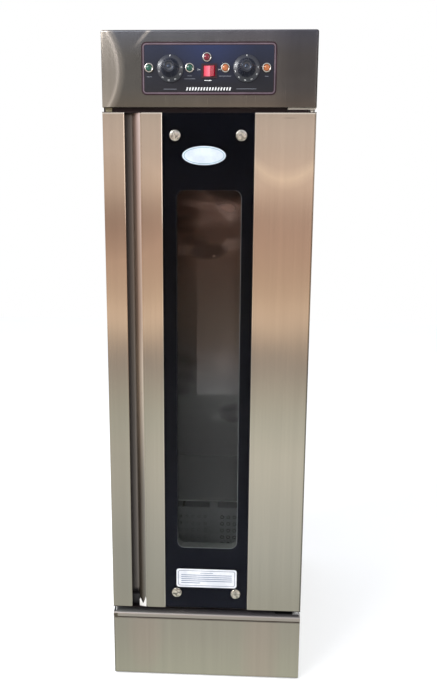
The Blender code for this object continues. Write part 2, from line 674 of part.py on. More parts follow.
def heater_pieces(parts, tools, liner_steel, element_steel, motor_finish, blade_finish):
    back = at(BACK_WALL_DEPTH) - GAP
    half = CHAMBER_HALF_WIDTH - GAP
    section = [(back, COVER_TOP), (at(COVER_DEPTH), COVER_TOP), (at(COVER_DEPTH), CHAMBER_FLOOR + GAP)]
    path = filleted(section, BEND)
    cover = folded_sheet("heater_cover", path, (-half, half), "X", LINER, parts, liner_steel)
    for tool in cover_holes(tools):
        cut(cover, tool)

    pan_spans = (
        (-PAN_LENGTH / 2, PAN_LENGTH / 2),
        (at(PAN_FRONT_DEPTH), at(PAN_FRONT_DEPTH + PAN_WIDTH)),
        (CHAMBER_FLOOR + GAP, CHAMBER_FLOOR + GAP + PAN_HEIGHT),
    )
    pan = boxes("water_pan", [pan_spans], parts, liner_steel)
    bm = bmesh.new()
    bm.from_mesh(pan.data)
    lean = math.cos(45 * DEGREE)
    lid = [face for face in bm.faces if face.normal.z > lean]
    bmesh.ops.delete(bm, geom=lid, context="FACES")
    bm.to_mesh(pan.data)
    bm.free()
    corners = pan.modifiers.new("Corners", "BEVEL")
    corners.width = PAN_CORNER
    corners.segments = 2
    shell = pan.modifiers.new("Sheet", "SOLIDIFY")
    shell.thickness = LINER
    shell.offset = -1
    shell.use_even_offset = True

    wall = back - GAP
    pan_middle = at(PAN_FRONT_DEPTH + PAN_WIDTH / 2)
    low = PAN_FLOOR + WATER_ELEMENT_ABOVE_PAN_FLOOR
    high = CHAMBER_FLOOR + PAN_HEIGHT + WATER_ELEMENT_ABOVE_RIM
    span = WATER_ELEMENT_HALF_SPAN
    route = [
        (span, wall, high),
        (span, pan_middle, high),
        (span, pan_middle, low),
        (-span, pan_middle, low),
        (-span, pan_middle, high),
        (-span, wall, high),
    ]
    tube("water_heater", filleted(route, ELEMENT_BEND), ELEMENT_RADIUS, parts, element_steel)

    span = AIR_ELEMENT_HALF_SPAN
    plane = at(BACK_WALL_DEPTH - AIR_ELEMENT_BEFORE_WALL)
    first = CHAMBER_FLOOR + AIR_ELEMENT_ABOVE_FLOOR
    levels = [first + step * AIR_ELEMENT_PITCH for step in range(3)]
    route = [
        (span, wall, levels[0]),
        (span, plane, levels[0]),
        (-span, plane, levels[0]),
        (-span, plane, levels[1]),
        (span, plane, levels[1]),
        (span, plane, levels[2]),
        (-span, plane, levels[2]),
        (-span, wall, levels[2]),
    ]
    tube("air_heater", filleted(route, ELEMENT_BEND), ELEMENT_RADIUS, parts, element_steel)

    motor_profile = [
        (0, MOTOR_LENGTH),
        (MOTOR_RADIUS - MOTOR_FLANGE, MOTOR_LENGTH),
        (MOTOR_RADIUS, MOTOR_LENGTH - MOTOR_FLANGE),
        (MOTOR_RADIUS, MOTOR_FLANGE),
        (MOTOR_FLANGE_RADIUS, MOTOR_FLANGE),
        (MOTOR_FLANGE_RADIUS, 0),
        (0, 0),
    ]
    fan_z = CHAMBER_FLOOR + FAN_ABOVE_FLOOR
    motor_place = Matrix.Translation((0, back, fan_z)) @ FACE_FRONT
    motor = turned("fan_motor", motor_profile, ROUND_STEPS, motor_place, parts, motor_finish)
    bore_depth = MOTOR_SHAFT_LENGTH + FAN_RUNNING_GAP
    bore_place = motor_place @ Matrix.Translation((0, 0, MOTOR_LENGTH))
    bore_radius = SHAFT_RADIUS + SHAFT_CLEARANCE
    cut(motor, cylinders("motor_bore", [bore_place], bore_radius, 2 * bore_depth, SMALL_STEPS, tools))

    hub_base = MOTOR_LENGTH + FAN_RUNNING_GAP
    axis = pivot("fan_axis", parts, (0, back - hub_base, fan_z))
    fan_place = Matrix.Translation((0, back - hub_base, fan_z)) @ FACE_FRONT
    fan_profile = [
        (0, FAN_HUB_LENGTH),
        (FAN_HUB_RADIUS - FAN_BLADE_THICKNESS, FAN_HUB_LENGTH),
        (FAN_HUB_RADIUS, FAN_HUB_LENGTH - FAN_BLADE_THICKNESS),
        (FAN_HUB_RADIUS, 0),
        (SHAFT_RADIUS, 0),
        (SHAFT_RADIUS, -MOTOR_SHAFT_LENGTH),
        (0, -MOTOR_SHAFT_LENGTH),
    ]
    fan = turned("fan_blades", fan_profile, ROUND_STEPS, fan_place, parts, blade_finish, axis)
    root = FAN_HUB_RADIUS / 2
    blade_shape = [
        (root, -FAN_BLADE_ROOT / 2),
        (FAN_RADIUS, -FAN_BLADE_TIP / 2),
        (FAN_RADIUS, FAN_BLADE_TIP / 2),
        (root, FAN_BLADE_ROOT / 2),
    ]
    for number in range(FAN_BLADE_COUNT):
        angle = 2 * math.pi * number / FAN_BLADE_COUNT
        place = fan_place @ Matrix.Translation((0, 0, FAN_HUB_LENGTH / 2))
        place = place @ Matrix.Rotation(angle, 4, "Z") @ Matrix.Rotation(FAN_BLADE_PITCH, 4, "X")
        join(fan, outline(f"fan_blade_{number + 1}", [blade_shape], FAN_BLADE_THICKNESS, place, tools))


def header_pieces(parts, tools, steel, dark_steel, plastic, rear_panel):
    back = at(REAR_INNER_DEPTH)
    shell = boxes("header_shell", [((-SIDE, SIDE), (at(0), back), (HEADER_BOTTOM, HEIGHT))], parts, steel)
    bm = bmesh.new()
    bm.from_mesh(shell.data)
    lean = math.cos(45 * DEGREE)
    open_faces = [face for face in bm.faces if face.normal.z < -lean or face.normal.y > lean]
    bmesh.ops.delete(bm, geom=open_faces, context="FACES")
    bm.to_mesh(shell.data)
    bm.free()
    corners = shell.modifiers.new("Corners", "BEVEL")
    corners.width = HEADER_CORNER
    corners.segments = ARC_STEPS
    sheet = shell.modifiers.new("Sheet", "SOLIDIFY")
    sheet.thickness = SHEET
    sheet.offset = -1
    sheet.use_even_offset = True

    floor_spans = ((-INSIDE, INSIDE), (at(HEADER_CORNER), back), (HEADER_BOTTOM, HEADER_BOTTOM + SHEET))
    boxes("header_floor", [floor_spans], parts, dark_steel)

    inside_nut = SHEET + GAP
    gland_profile = [
        (GLAND_BORE_RADIUS, GLAND_REACH),
        (GLAND_BARREL_RADIUS, GLAND_REACH),
        (GLAND_NUT_RADIUS, GLAND_REACH / 2),
        (GLAND_NUT_RADIUS, GAP),
        (GLAND_BARREL_RADIUS, GAP),
        (GLAND_BARREL_RADIUS, -inside_nut),
        (GLAND_NUT_RADIUS, -inside_nut),
        (GLAND_NUT_RADIUS, -inside_nut - GLAND_LOCKNUT),
        (GLAND_BARREL_RADIUS, -inside_nut - GLAND_LOCKNUT),
        (GLAND_BARREL_RADIUS, -inside_nut - GLAND_BARREL_LENGTH),
        (GLAND_BORE_RADIUS, -inside_nut - GLAND_BARREL_LENGTH),
    ]
    face_rear = Matrix.Rotation(-90 * DEGREE, 4, "X")
    gland_z = HEADER_BOTTOM + GLAND_ABOVE_HEADER_BOTTOM
    gland_place = Matrix.Translation((GLAND_X, at(DEPTH), gland_z)) @ face_rear
    turned("cable_gland", gland_profile, ROUND_STEPS, gland_place, parts, plastic)
    reach = 2 * (SHEET + OVERRUN)
    hole_radius = GLAND_BARREL_RADIUS + GAP
    cut(rear_panel, cylinders("gland_hole", [gland_place], hole_radius, reach, ROUND_STEPS, tools))
    return shell


def control_pieces(parts, tools, shell, overlay_finish, plastic, lens_finishes, rocker_finish):
    wide, tall = OVERLAY_SIZE
    loop = rectangle(-wide / 2, CONTROL_Z - tall / 2, wide / 2, CONTROL_Z + tall / 2, OVERLAY_CORNER)
    overlay_place = front_place(0, 0, -(GAP + OVERLAY_THICKNESS / 2))
    overlay = outline("control_overlay", [loop], OVERLAY_THICKNESS, overlay_place, parts, overlay_finish)
    reach = 2 * (SHEET + OVERRUN)
    lamp_places = [front_place(x, z) for x, z in LAMPS.values()]
    knob_places = [front_place(x, z) for x, z in KNOBS]
    lamp_hole_radius = LAMP_BARREL_RADIUS + GAP
    lamp_holes = cylinders("lamp_holes", lamp_places, lamp_hole_radius, reach, SMALL_STEPS, tools)
    shaft_holes = cylinders("shaft_holes", knob_places, SHAFT_RADIUS + GAP, reach, SMALL_STEPS, tools)
    opening_x = (SWITCH_X - SWITCH_HALF_WIDTH - GAP, SWITCH_X + SWITCH_HALF_WIDTH + GAP)
    opening_z = (SWITCH_Z - SWITCH_HALF_HEIGHT - GAP, SWITCH_Z + SWITCH_HALF_HEIGHT + GAP)
    switch_hole = boxes("switch_hole", [(opening_x, (at(-OVERRUN), at(OVERRUN)), opening_z)], tools)
    for piece in (shell, overlay):
        for tool in (lamp_holes, shaft_holes, switch_hole):
            cut(piece, tool)

    seat = OVERLAY_FRONT - GAP
    floor = LAMP_BEZEL_HEIGHT - LAMP_RECESS
    lamp_profile = []
    for step in range(ARC_STEPS + 1):
        angle = step / ARC_STEPS * 90 * DEGREE
        height = floor + (LAMP_RECESS + LAMP_LENS_RISE) * math.cos(angle)
        lamp_profile.append((LAMP_LENS_RADIUS * math.sin(angle), height))
    lamp_profile += [
        (LAMP_LENS_RADIUS + LAMP_GROOVE, floor),
        (LAMP_LENS_RADIUS + LAMP_GROOVE, LAMP_BEZEL_HEIGHT),
        (LAMP_BEZEL_RADIUS - SHEET, LAMP_BEZEL_HEIGHT),
        (LAMP_BEZEL_RADIUS, LAMP_BEZEL_HEIGHT / 2),
        (LAMP_BEZEL_RADIUS, 0),
        (LAMP_BARREL_RADIUS, 0),
        (LAMP_BARREL_RADIUS, -LAMP_BARREL_LENGTH),
        (0, -LAMP_BARREL_LENGTH),
    ]
    for name, (x, z) in LAMPS.items():
        lens_finish = lens_finishes[name.split("_")[0]]
        turned(name, lamp_profile, ROUND_STEPS, front_place(x, z, seat), parts, lens_finish)

    flange_back = OVERLAY_FRONT - GAP
    housing_back = ROCKER_PIVOT_DEPTH + ROCKER_RADIUS
    body_x = (SWITCH_X - SWITCH_HALF_WIDTH, SWITCH_X + SWITCH_HALF_WIDTH)
    body_z = (SWITCH_Z - SWITCH_HALF_HEIGHT, SWITCH_Z + SWITCH_HALF_HEIGHT)
    flange_x = (body_x[0] - SWITCH_FLANGE, body_x[1] + SWITCH_FLANGE)
    flange_z = (body_z[0] - SWITCH_FLANGE, body_z[1] + SWITCH_FLANGE)
    flange_front = flange_back - SWITCH_FLANGE_THICKNESS
    flange_spans = (flange_x, (at(flange_front), at(flange_back)), flange_z)
    frame = boxes("switch_frame", [flange_spans], parts, plastic)
    body_spans = (body_x, (at(flange_front + GAP), at(housing_back)), body_z)
    join(frame, boxes("switch_body", [body_spans], tools))
    cavity_x = (SWITCH_X - ROCKER_RADIUS - GAP, SWITCH_X + ROCKER_RADIUS + GAP)
    cavity_z = (SWITCH_Z - ROCKER_HEIGHT / 2 - GAP, SWITCH_Z + ROCKER_HEIGHT / 2 + GAP)
    swing = ROCKER_RADIUS * math.sin(ROCKER_TILT)
    cavity_back = ROCKER_PIVOT_DEPTH + ROCKER_BACK + swing + ROCKER_SWEEP_CLEARANCE
    cavity_spans = (cavity_x, (at(flange_front - OVERRUN), at(cavity_back)), cavity_z)
    cut(frame, boxes("switch_cavity", [cavity_spans], tools))

    end_angle = math.atan2(ROCKER_END_RISE, ROCKER_HALF_FACE)
    back_angle = -math.asin(ROCKER_BACK / ROCKER_RADIUS)
    right_end = []
    for step in range(ARC_STEPS + 1):
        angle = end_angle + (back_angle - end_angle) * step / ARC_STEPS
        right_end.append((ROCKER_RADIUS * math.cos(angle), -ROCKER_RADIUS * math.sin(angle)))
    left_end = [(-x, y) for x, y in reversed(right_end)]
    section = [(0, -ROCKER_FACE_RISE)] + right_end + left_end
    rocker_place = Matrix.Translation((SWITCH_X, at(ROCKER_PIVOT_DEPTH), SWITCH_Z))
    rocker_place = rocker_place @ Matrix.Rotation(-ROCKER_TILT, 4, "Z")
    outline("power_rocker", [section], ROCKER_HEIGHT, rocker_place, parts, rocker_finish)

    knob_seat = OVERLAY_FRONT - KNOB_CLEARANCE
    flare = KNOB_FLARE_HEIGHT - KNOB_SKIRT_HEIGHT
    knob_profile = [
        (0, KNOB_LENGTH),
        (KNOB_CAP_RADIUS - SHEET, KNOB_LENGTH),
        (KNOB_CAP_RADIUS, KNOB_LENGTH - SHEET),
    ]
    for step in range(ARC_STEPS + 1):
        angle = step / ARC_STEPS * 90 * DEGREE
        radius = KNOB_SKIRT_RADIUS - (KNOB_SKIRT_RADIUS - KNOB_GRIP_RADIUS) * math.cos(angle)
        knob_profile.append((radius, KNOB_SKIRT_HEIGHT + flare * (1 - math.sin(angle))))
    knob_profile += [
        (KNOB_SKIRT_RADIUS, 0),
        (SHAFT_RADIUS, 0),
        (SHAFT_RADIUS, -SHAFT_LENGTH),
        (0, -SHAFT_LENGTH),
    ]
    wide, deep, tall = REGULATOR_SIZE
    for label, x, body_name in (
        ("thermostat_knob", THERMOSTAT_X, "thermostat_body"),
        ("humidity_knob", HUMIDISTAT_X, "humidistat_body"),
    ):
        turned(label, knob_profile, FINE_STEPS, front_place(x, CONTROL_Z, knob_seat), parts, plastic)
        spans = (
            (x - wide / 2, x + wide / 2),
            (at(SHEET + GAP), at(SHEET + GAP + deep)),
            (CONTROL_Z - tall / 2, CONTROL_Z + tall / 2),
        )
        regulator = boxes(body_name, [spans], parts, plastic)
        bore_place = front_place(x, CONTROL_Z, SHEET)
        bore_radius = SHAFT_RADIUS + SHAFT_CLEARANCE
        bore_length = 2 * (SHAFT_LENGTH + KNOB_CLEARANCE)
        cut(regulator, cylinders(label + "_bore", [bore_place], bore_radius, bore_length, SMALL_STEPS, tools))


def window_loop(margin, corner):
    low = (WINDOW_LEFT - margin, WINDOW_BOTTOM - margin)
    high = (WINDOW_RIGHT + margin, WINDOW_TOP + margin)
    return rectangle(*low, *high, corner)


def door_skins(parts, steel, plastic, hinge):
    """The folded fronts: the pull strip with its lip, the finger recess, and the two stiles."""
    skin = (SKIN_BOTTOM, SKIN_TOP)
    section = [
        (-SIDE, at(CORE_BACK)),
        (-SIDE, at(0)),
        (PULL_RIGHT, at(0)),
        (PULL_RIGHT, at(PULL_LIP_THICKNESS)),
        (PULL_BACK_X, at(PULL_LIP_THICKNESS)),
        (PULL_BACK_X, at(CORE_BACK)),
    ]
    folded_sheet("pull_strip", filleted(section, BEND), skin, "Z", SHEET, parts, steel, hinge)

    floor_start = PULL_BACK_X + GAP
    scoop_end = RECESS_RIGHT - GAP - SHEET
    scoop_rise = RECESS_DEPTH - SCOOP_RIM
    path = [(floor_start, at(RECESS_DEPTH))]
    scoop_steps = 2 * ARC_STEPS
    for step in range(scoop_steps + 1):
        angle = step / scoop_steps * 90 * DEGREE
        depth = RECESS_DEPTH - scoop_rise * math.sin(angle)
        path.append((scoop_end - SCOOP_WIDTH * math.cos(angle), at(depth)))
    folded_sheet("handle_channel", path, skin, "Z", SHEET, parts, steel, hinge)

    cap_front = PULL_LIP_THICKNESS + BEND
    cap_back = RECESS_DEPTH - END_CAP_SETBACK
    cap_loop = [(floor_start, at(cap_back)), (floor_start, at(cap_front))]
    for step in range(ARC_STEPS + 1):
        depth = cap_front + (cap_back - cap_front) * step / ARC_STEPS
        angle = math.asin((RECESS_DEPTH - depth) / scoop_rise)
        cap_loop.append((scoop_end - SCOOP_WIDTH * math.cos(angle) - 2 * GAP, at(depth)))
    cap_place = Matrix.Translation((0, 0, SKIN_BOTTOM + END_CAP_HEIGHT / 2))
    outline("handle_end_cap", [cap_loop], END_CAP_HEIGHT, cap_place, parts, plastic, hinge)

    section = [
        (RECESS_RIGHT, at(CORE_BACK)),
        (RECESS_RIGHT, at(0)),
        (GLASS_LEFT, at(0)),
        (GLASS_LEFT, at(STILE_RETURN)),
    ]
    folded_sheet("left_stile", filleted(section, BEND), skin, "Z", SHEET, parts, steel, hinge)
    section = [(GLASS_RIGHT, at(STILE_RETURN)), (GLASS_RIGHT, at(0)), (SIDE, at(0)), (SIDE, at(CORE_BACK))]
    folded_sheet("right_stile", filleted(section, BEND), skin, "Z", SHEET, parts, steel, hinge)


def door_window(parts, tools, glass, black_plastic, liner_steel, chrome, hinge):
    """The outer glass with its four caps, the black frame behind it, the inner glass and the steel back."""
    glass_x = (GLASS_LEFT + GAP, GLASS_RIGHT - GAP)
    cap_places = [front_place(x, z) for x in CAP_COLUMNS.values() for z in CAP_ROWS.values()]
    hole_radius = CAP_SHANK_RADIUS + CAP_CLEARANCE
    reach = 2 * (CAP_SHANK_LENGTH + OVERRUN)
    shank_holes = cylinders("shank_holes", cap_places, hole_radius, reach, SMALL_STEPS, tools)
    glass_depths = (at(GLASS_SETBACK), at(GLASS_SETBACK + GLASS_THICKNESS))
    pane = boxes("door_glass", [(glass_x, glass_depths, (DOOR_BOTTOM, DOOR_TOP))], parts, glass, hinge)
    cut(pane, shank_holes)

    flange_loops = [rectangle(glass_x[0], SKIN_BOTTOM, glass_x[1], SKIN_TOP), window_loop(0, WINDOW_CORNER)]
    flange_place = front_place(0, 0, (WINDOW_FRAME_FRONT + WINDOW_FLANGE_BACK) / 2)
    flange = WINDOW_FRAME_FLANGE
    frame = outline("window_frame", flange_loops, flange, flange_place, parts, black_plastic, hinge)
    band_outer = rectangle(glass_x[0], WINDOW_BOTTOM - SPACER_BAND, glass_x[1], WINDOW_TOP + SPACER_BAND)
    band_front = WINDOW_FLANGE_BACK - WINDOW_FRAME_FLANGE / 2
    band_place = front_place(0, 0, (band_front + SPACER_BACK) / 2)
    band_loops = [band_outer, window_loop(0, WINDOW_CORNER)]
    join(frame, outline("window_spacer", band_loops, SPACER_BACK - band_front, band_place, tools))
    cut(frame, shank_holes)

    inner_depths = (at(INNER_GLASS_FRONT), at(CORE_BACK))
    inner_z = (WINDOW_BOTTOM - SPACER_BAND, WINDOW_TOP + SPACER_BAND)
    boxes("inner_glass", [(glass_x, inner_depths, inner_z)], parts, glass, hinge)

    liner_loops = [
        rectangle(-INSIDE, SKIN_BOTTOM, INSIDE, SKIN_TOP),
        window_loop(LINER_WINDOW_MARGIN, WINDOW_CORNER + LINER_WINDOW_MARGIN),
    ]
    liner_place = front_place(0, 0, LINER_DEPTH + SHEET / 2)
    outline("door_liner", liner_loops, SHEET, liner_place, parts, liner_steel, hinge)

    cap_profile = [
        (0, CAP_HEIGHT),
        (CAP_CROWN_RADIUS, CAP_HEIGHT),
        (CAP_RADIUS, CAP_RIM_HEIGHT),
        (CAP_RADIUS, 0),
        (CAP_SHANK_RADIUS, 0),
        (CAP_SHANK_RADIUS, -CAP_SHANK_LENGTH),
        (0, -CAP_SHANK_LENGTH),
    ]
    for row, z in CAP_ROWS.items():
        for column, x in CAP_COLUMNS.items():
            place = front_place(x, z, GLASS_SETBACK - GAP)
            turned(f"{row}_{column}_glass_cap", cap_profile, ROUND_STEPS, place, parts, chrome, hinge)
    return shank_holes


def door_core(parts, tools, foam, rubber, shank_holes, hinge):
    """The insulation, as a ring round the window with a thicker block above and below it, and the gasket."""
    foam_z = (SKIN_BOTTOM + FOAM_END_CLEARANCE, SKIN_TOP - FOAM_END_CLEARANCE)
    slab_front = STILE_RETURN + GAP
    slab_x = (RECESS_RIGHT + SHEET + GAP, SIDE - SHEET - GAP)
    hole_x = (GLASS_LEFT, GLASS_RIGHT)
    hole_z = (WINDOW_BOTTOM - SPACER_BAND - GAP, WINDOW_TOP + SPACER_BAND + GAP)
    ring = [
        rectangle(slab_x[0], foam_z[0], slab_x[1], foam_z[1]),
        rectangle(hole_x[0], hole_z[0], hole_x[1], hole_z[1]),
    ]
    slab_place = front_place(0, 0, (slab_front + CORE_BACK) / 2)
    core = outline("door_insulation", ring, CORE_BACK - slab_front, slab_place, parts, foam, hinge)
    block_x = (GLASS_LEFT + GAP, GLASS_RIGHT - GAP)
    block_y = (at(WINDOW_FLANGE_BACK + GAP), at(slab_front + OVERRUN))
    join(core, boxes("lower_block", [(block_x, block_y, (foam_z[0], hole_z[0]))], tools))
    join(core, boxes("upper_block", [(block_x, block_y, (hole_z[1], foam_z[1]))], tools))
    cut(core, shank_holes)

    left = -SIDE + GASKET_INSET
    right = PIVOT_X - GAP
    bottom = DOOR_BOTTOM + GASKET_INSET
    top = DOOR_TOP - GASKET_INSET
    inner = rectangle(left + GASKET_BAND, bottom + GASKET_BAND, right - GASKET_BAND, top - GASKET_BAND)
    gasket_loops = [rectangle(left, bottom, right, top), inner]
    gasket_place = front_place(0, 0, DOOR_THICKNESS + GASKET_DEPTH / 2)
    outline("door_gasket", gasket_loops, GASKET_DEPTH - 2 * GAP, gasket_place, parts, rubber, hinge)


def door_ends(parts, tools, steel, hinge):
    """The top and bottom plates, notched for the glass and bored for the hinge pins."""
    end_loop = [
        (-SIDE, at(0)),
        (GLASS_LEFT, at(0)),
        (GLASS_LEFT, at(WINDOW_FRAME_FRONT)),
        (GLASS_RIGHT, at(WINDOW_FRAME_FRONT)),
        (GLASS_RIGHT, at(0)),
        (SIDE, at(0)),
        (SIDE, at(DOOR_THICKNESS)),
        (-SIDE, at(DOOR_THICKNESS)),
    ]
    hole_radius = PIN_RADIUS + PIN_CLEARANCE
    for name, z in (("door_bottom_plate", DOOR_BOTTOM + SHEET / 2), ("door_top_plate", DOOR_TOP - SHEET / 2)):
        plate = outline(name, [end_loop], SHEET, Matrix.Translation((0, 0, z)), parts, steel, hinge)
        place = Matrix.Translation((PIVOT_X, at(PIVOT_DEPTH), z))
        cut(plate, cylinders(name + "_pin_hole", [place], hole_radius, OVERRUN, ROUND_STEPS, tools))


def door_pieces(parts, tools, steel, liner_steel, glass, black_plastic, rubber, foam, chrome):
    hinge = pivot("door_axis", parts, (PIVOT_X, at(PIVOT_DEPTH), (DOOR_BOTTOM + DOOR_TOP) / 2))
    door_skins(parts, steel, black_plastic, hinge)
    shank_holes = door_window(parts, tools, glass, black_plastic, liner_steel, chrome, hinge)
    door_core(parts, tools, foam, rubber, shank_holes, hinge)
    door_ends(parts, tools, steel, hinge)


def upright_rod(name, radius, heights, tools):
    """A round rod on the hinge axis, between two heights."""
    low, high = heights
    place = Matrix.Translation((PIVOT_X, at(PIVOT_DEPTH), (low + high) / 2))
    return cylinders(name, [place], radius, high - low, ROUND_STEPS, tools)


def hinge_brackets(parts, tools, chrome):
    """A plate under the header and one on the base ledge, each with a leg on the front frame and a pin."""
    plate_x = (HINGE_PLATE_LEFT, SIDE - HINGE_PLATE_INSET)
    leg_y = (at(FRAME_DEPTH - GAP - HINGE_LEG_THICKNESS), at(FRAME_DEPTH - GAP))
    plate_y = (at(HINGE_PLATE_SETBACK), leg_y[1])

    plate_bottom = BODY_TOP - HINGE_PLATE_THICKNESS
    top = boxes("top_hinge_bracket", [(plate_x, plate_y, (plate_bottom, BODY_TOP))], parts, chrome)
    leg_z = (BODY_TOP - HINGE_LEG_HEIGHT, BODY_TOP)
    join(top, boxes("top_hinge_leg", [(plate_x, leg_y, leg_z)], tools))
    pin_z = (DOOR_TOP - PIN_ENGAGEMENT, BODY_TOP - GAP)
    join(top, upright_rod("top_hinge_pin", PIN_RADIUS, pin_z, tools))

    plate_bottom = NOSING_TOP + GAP
    plate_top = plate_bottom + HINGE_PLATE_THICKNESS
    bottom = boxes("bottom_hinge_bracket", [(plate_x, plate_y, (plate_bottom, plate_top))], parts, chrome)
    leg_z = (plate_bottom, plate_bottom + HINGE_LEG_HEIGHT)
    join(bottom, boxes("bottom_hinge_leg", [(plate_x, leg_y, leg_z)], tools))
    pin_z = (plate_bottom + GAP, DOOR_BOTTOM + PIN_ENGAGEMENT)
    join(bottom, upright_rod("bottom_hinge_pin", PIN_RADIUS, pin_z, tools))
    collar_z = (plate_top - GAP, DOOR_BOTTOM - GAP)
    join(bottom, upright_rod("bottom_hinge_collar", COLLAR_RADIUS, collar_z, tools))


def build():
    clear_scene()
    parts = new_collection("proofing_cabinet")
    tools = new_collection("cutters")
    steel = finish("brushed_steel", (0.55, 0.51, 0.44), 0.32, 1.0)
    dark_steel = finish("shaded_steel", (0.30, 0.29, 0.27), 0.45, 1.0)
    liner_steel = finish("liner_steel", (0.45, 0.44, 0.42), 0.35, 1.0)
    chrome = finish("chrome", (0.80, 0.80, 0.79), 0.15, 1.0)
    glass = finish("glass", (0.80, 0.82, 0.84), 0.03, 0.0, 0.9)
    overlay_finish = finish("panel_face", (0.030, 0.032, 0.050), 0.35, 0.0)
    black_plastic = finish("black_plastic", (0.020, 0.020, 0.022), 0.4, 0.0)
    rubber = finish("black_rubber", (0.015, 0.015, 0.015), 0.7, 0.0)
    foam = finish("insulation", (0.80, 0.74, 0.55), 0.9, 0.0)
    element_steel = finish("element_steel", (0.35, 0.33, 0.30), 0.4, 1.0)
    blade_finish = finish("aluminium", (0.75, 0.76, 0.77), 0.35, 1.0)
    rocker_finish = finish("red_lens", (0.75, 0.03, 0.04), 0.2, 0.0)
    lens_finishes = {
        "green": finish("green_lens", (0.02, 0.25, 0.14), 0.15, 0.0),
        "red": finish("dark_red_lens", (0.35, 0.01, 0.03), 0.15, 0.0),
        "orange": finish("orange_lens", (0.70, 0.20, 0.05), 0.15, 0.0),
    }
    base_pieces(parts, steel, dark_steel, rubber)
    rear_panel = body_pieces(parts, tools, steel, liner_steel, foam)
    rack_pieces(parts, tools, liner_steel)
    heater_pieces(parts, tools, liner_steel, element_steel, black_plastic, blade_finish)
    shell = header_pieces(parts, tools, steel, dark_steel, black_plastic, rear_panel)
    control_pieces(parts, tools, shell, overlay_finish, black_plastic, lens_finishes, rocker_finish)
    door_pieces(parts, tools, steel, liner_steel, glass, black_plastic, rubber, foam, chrome)
    hinge_brackets(parts, tools, chrome)


build()
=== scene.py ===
"""The looks of a single-door proofing cabinet: brushed steel, a black-edged glass door and a dark panel.

Metres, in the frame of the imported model: +Z up, -Y towards the person who faces the door."""

import math

import bmesh
import bpy
from mathutils import Matrix, Vector


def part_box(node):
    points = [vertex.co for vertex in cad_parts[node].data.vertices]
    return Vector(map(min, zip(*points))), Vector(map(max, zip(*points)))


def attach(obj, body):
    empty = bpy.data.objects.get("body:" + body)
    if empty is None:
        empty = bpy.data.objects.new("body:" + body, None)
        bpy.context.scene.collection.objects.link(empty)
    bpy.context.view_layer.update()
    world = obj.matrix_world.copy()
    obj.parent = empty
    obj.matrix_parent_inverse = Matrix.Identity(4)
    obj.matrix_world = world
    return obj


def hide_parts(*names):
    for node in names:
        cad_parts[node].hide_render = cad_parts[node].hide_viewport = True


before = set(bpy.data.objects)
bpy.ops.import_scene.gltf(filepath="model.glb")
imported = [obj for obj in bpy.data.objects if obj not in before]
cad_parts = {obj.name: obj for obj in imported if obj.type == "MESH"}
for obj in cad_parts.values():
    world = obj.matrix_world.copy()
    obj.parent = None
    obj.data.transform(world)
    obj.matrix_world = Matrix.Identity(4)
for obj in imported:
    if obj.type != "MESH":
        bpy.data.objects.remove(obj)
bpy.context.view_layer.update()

MM = 0.001
DEGREE = math.pi / 180
CABINET_TOP = 1.65
SHARP_ANGLE = 32 * DEGREE
FRONT_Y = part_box("pull_strip")[0].y
FACE_FRONT = Matrix.Rotation(90 * DEGREE, 4, "X")
FACE_BACK = Matrix.Rotation(180 * DEGREE, 4, "Z") @ FACE_FRONT


def srgb(*values):
    """A linear colour from 0 to 255 values as a screen shows them."""
    shares = [value / 255 for value in values]
    return tuple(share / 12.92 if share <= 0.04045 else ((share + 0.055) / 1.055) ** 2.4 for share in shares)


def shaded(colour, share):
    return tuple(share * part for part in colour)


def at(depth):
    """The Y of a plane that lies this many millimetres behind the front face."""
    return FRONT_Y + depth * MM


def show(thing):
    bpy.context.scene.collection.objects.link(thing)
    return thing


def soften(mesh):
    """Smooth shading, with the edges of folds and corners kept sharp."""
    mesh.shade_smooth()
    mesh.set_sharp_from_angle(angle=SHARP_ANGLE)
    return mesh


# Camera

CAMERA_PLACE = 0.1054, -2.05655, 1.2444
CAMERA_ANGLES = 2.614 * DEGREE, 11.116 * DEGREE, 0.442 * DEGREE
FOCAL_LENGTH = 36.35
SENSOR_HEIGHT = 36


def make_camera():
    """The camera of the photograph, from its yaw to the left, its pitch down and its roll."""
    yaw, pitch, roll = CAMERA_ANGLES
    data = bpy.data.cameras.new("camera")
    data.sensor_fit = "VERTICAL"
    data.sensor_height = SENSOR_HEIGHT
    data.lens = FOCAL_LENGTH
    camera = show(bpy.data.objects.new("camera", data))
    level = Matrix.Rotation(yaw, 4, "Z") @ Matrix.Rotation(90 * DEGREE - pitch, 4, "X")
    camera.matrix_world = Matrix.Translation(CAMERA_PLACE) @ level @ Matrix.Rotation(roll, 4, "Z")
    bpy.context.scene.camera = camera


# Materials

MATERIALS = {}


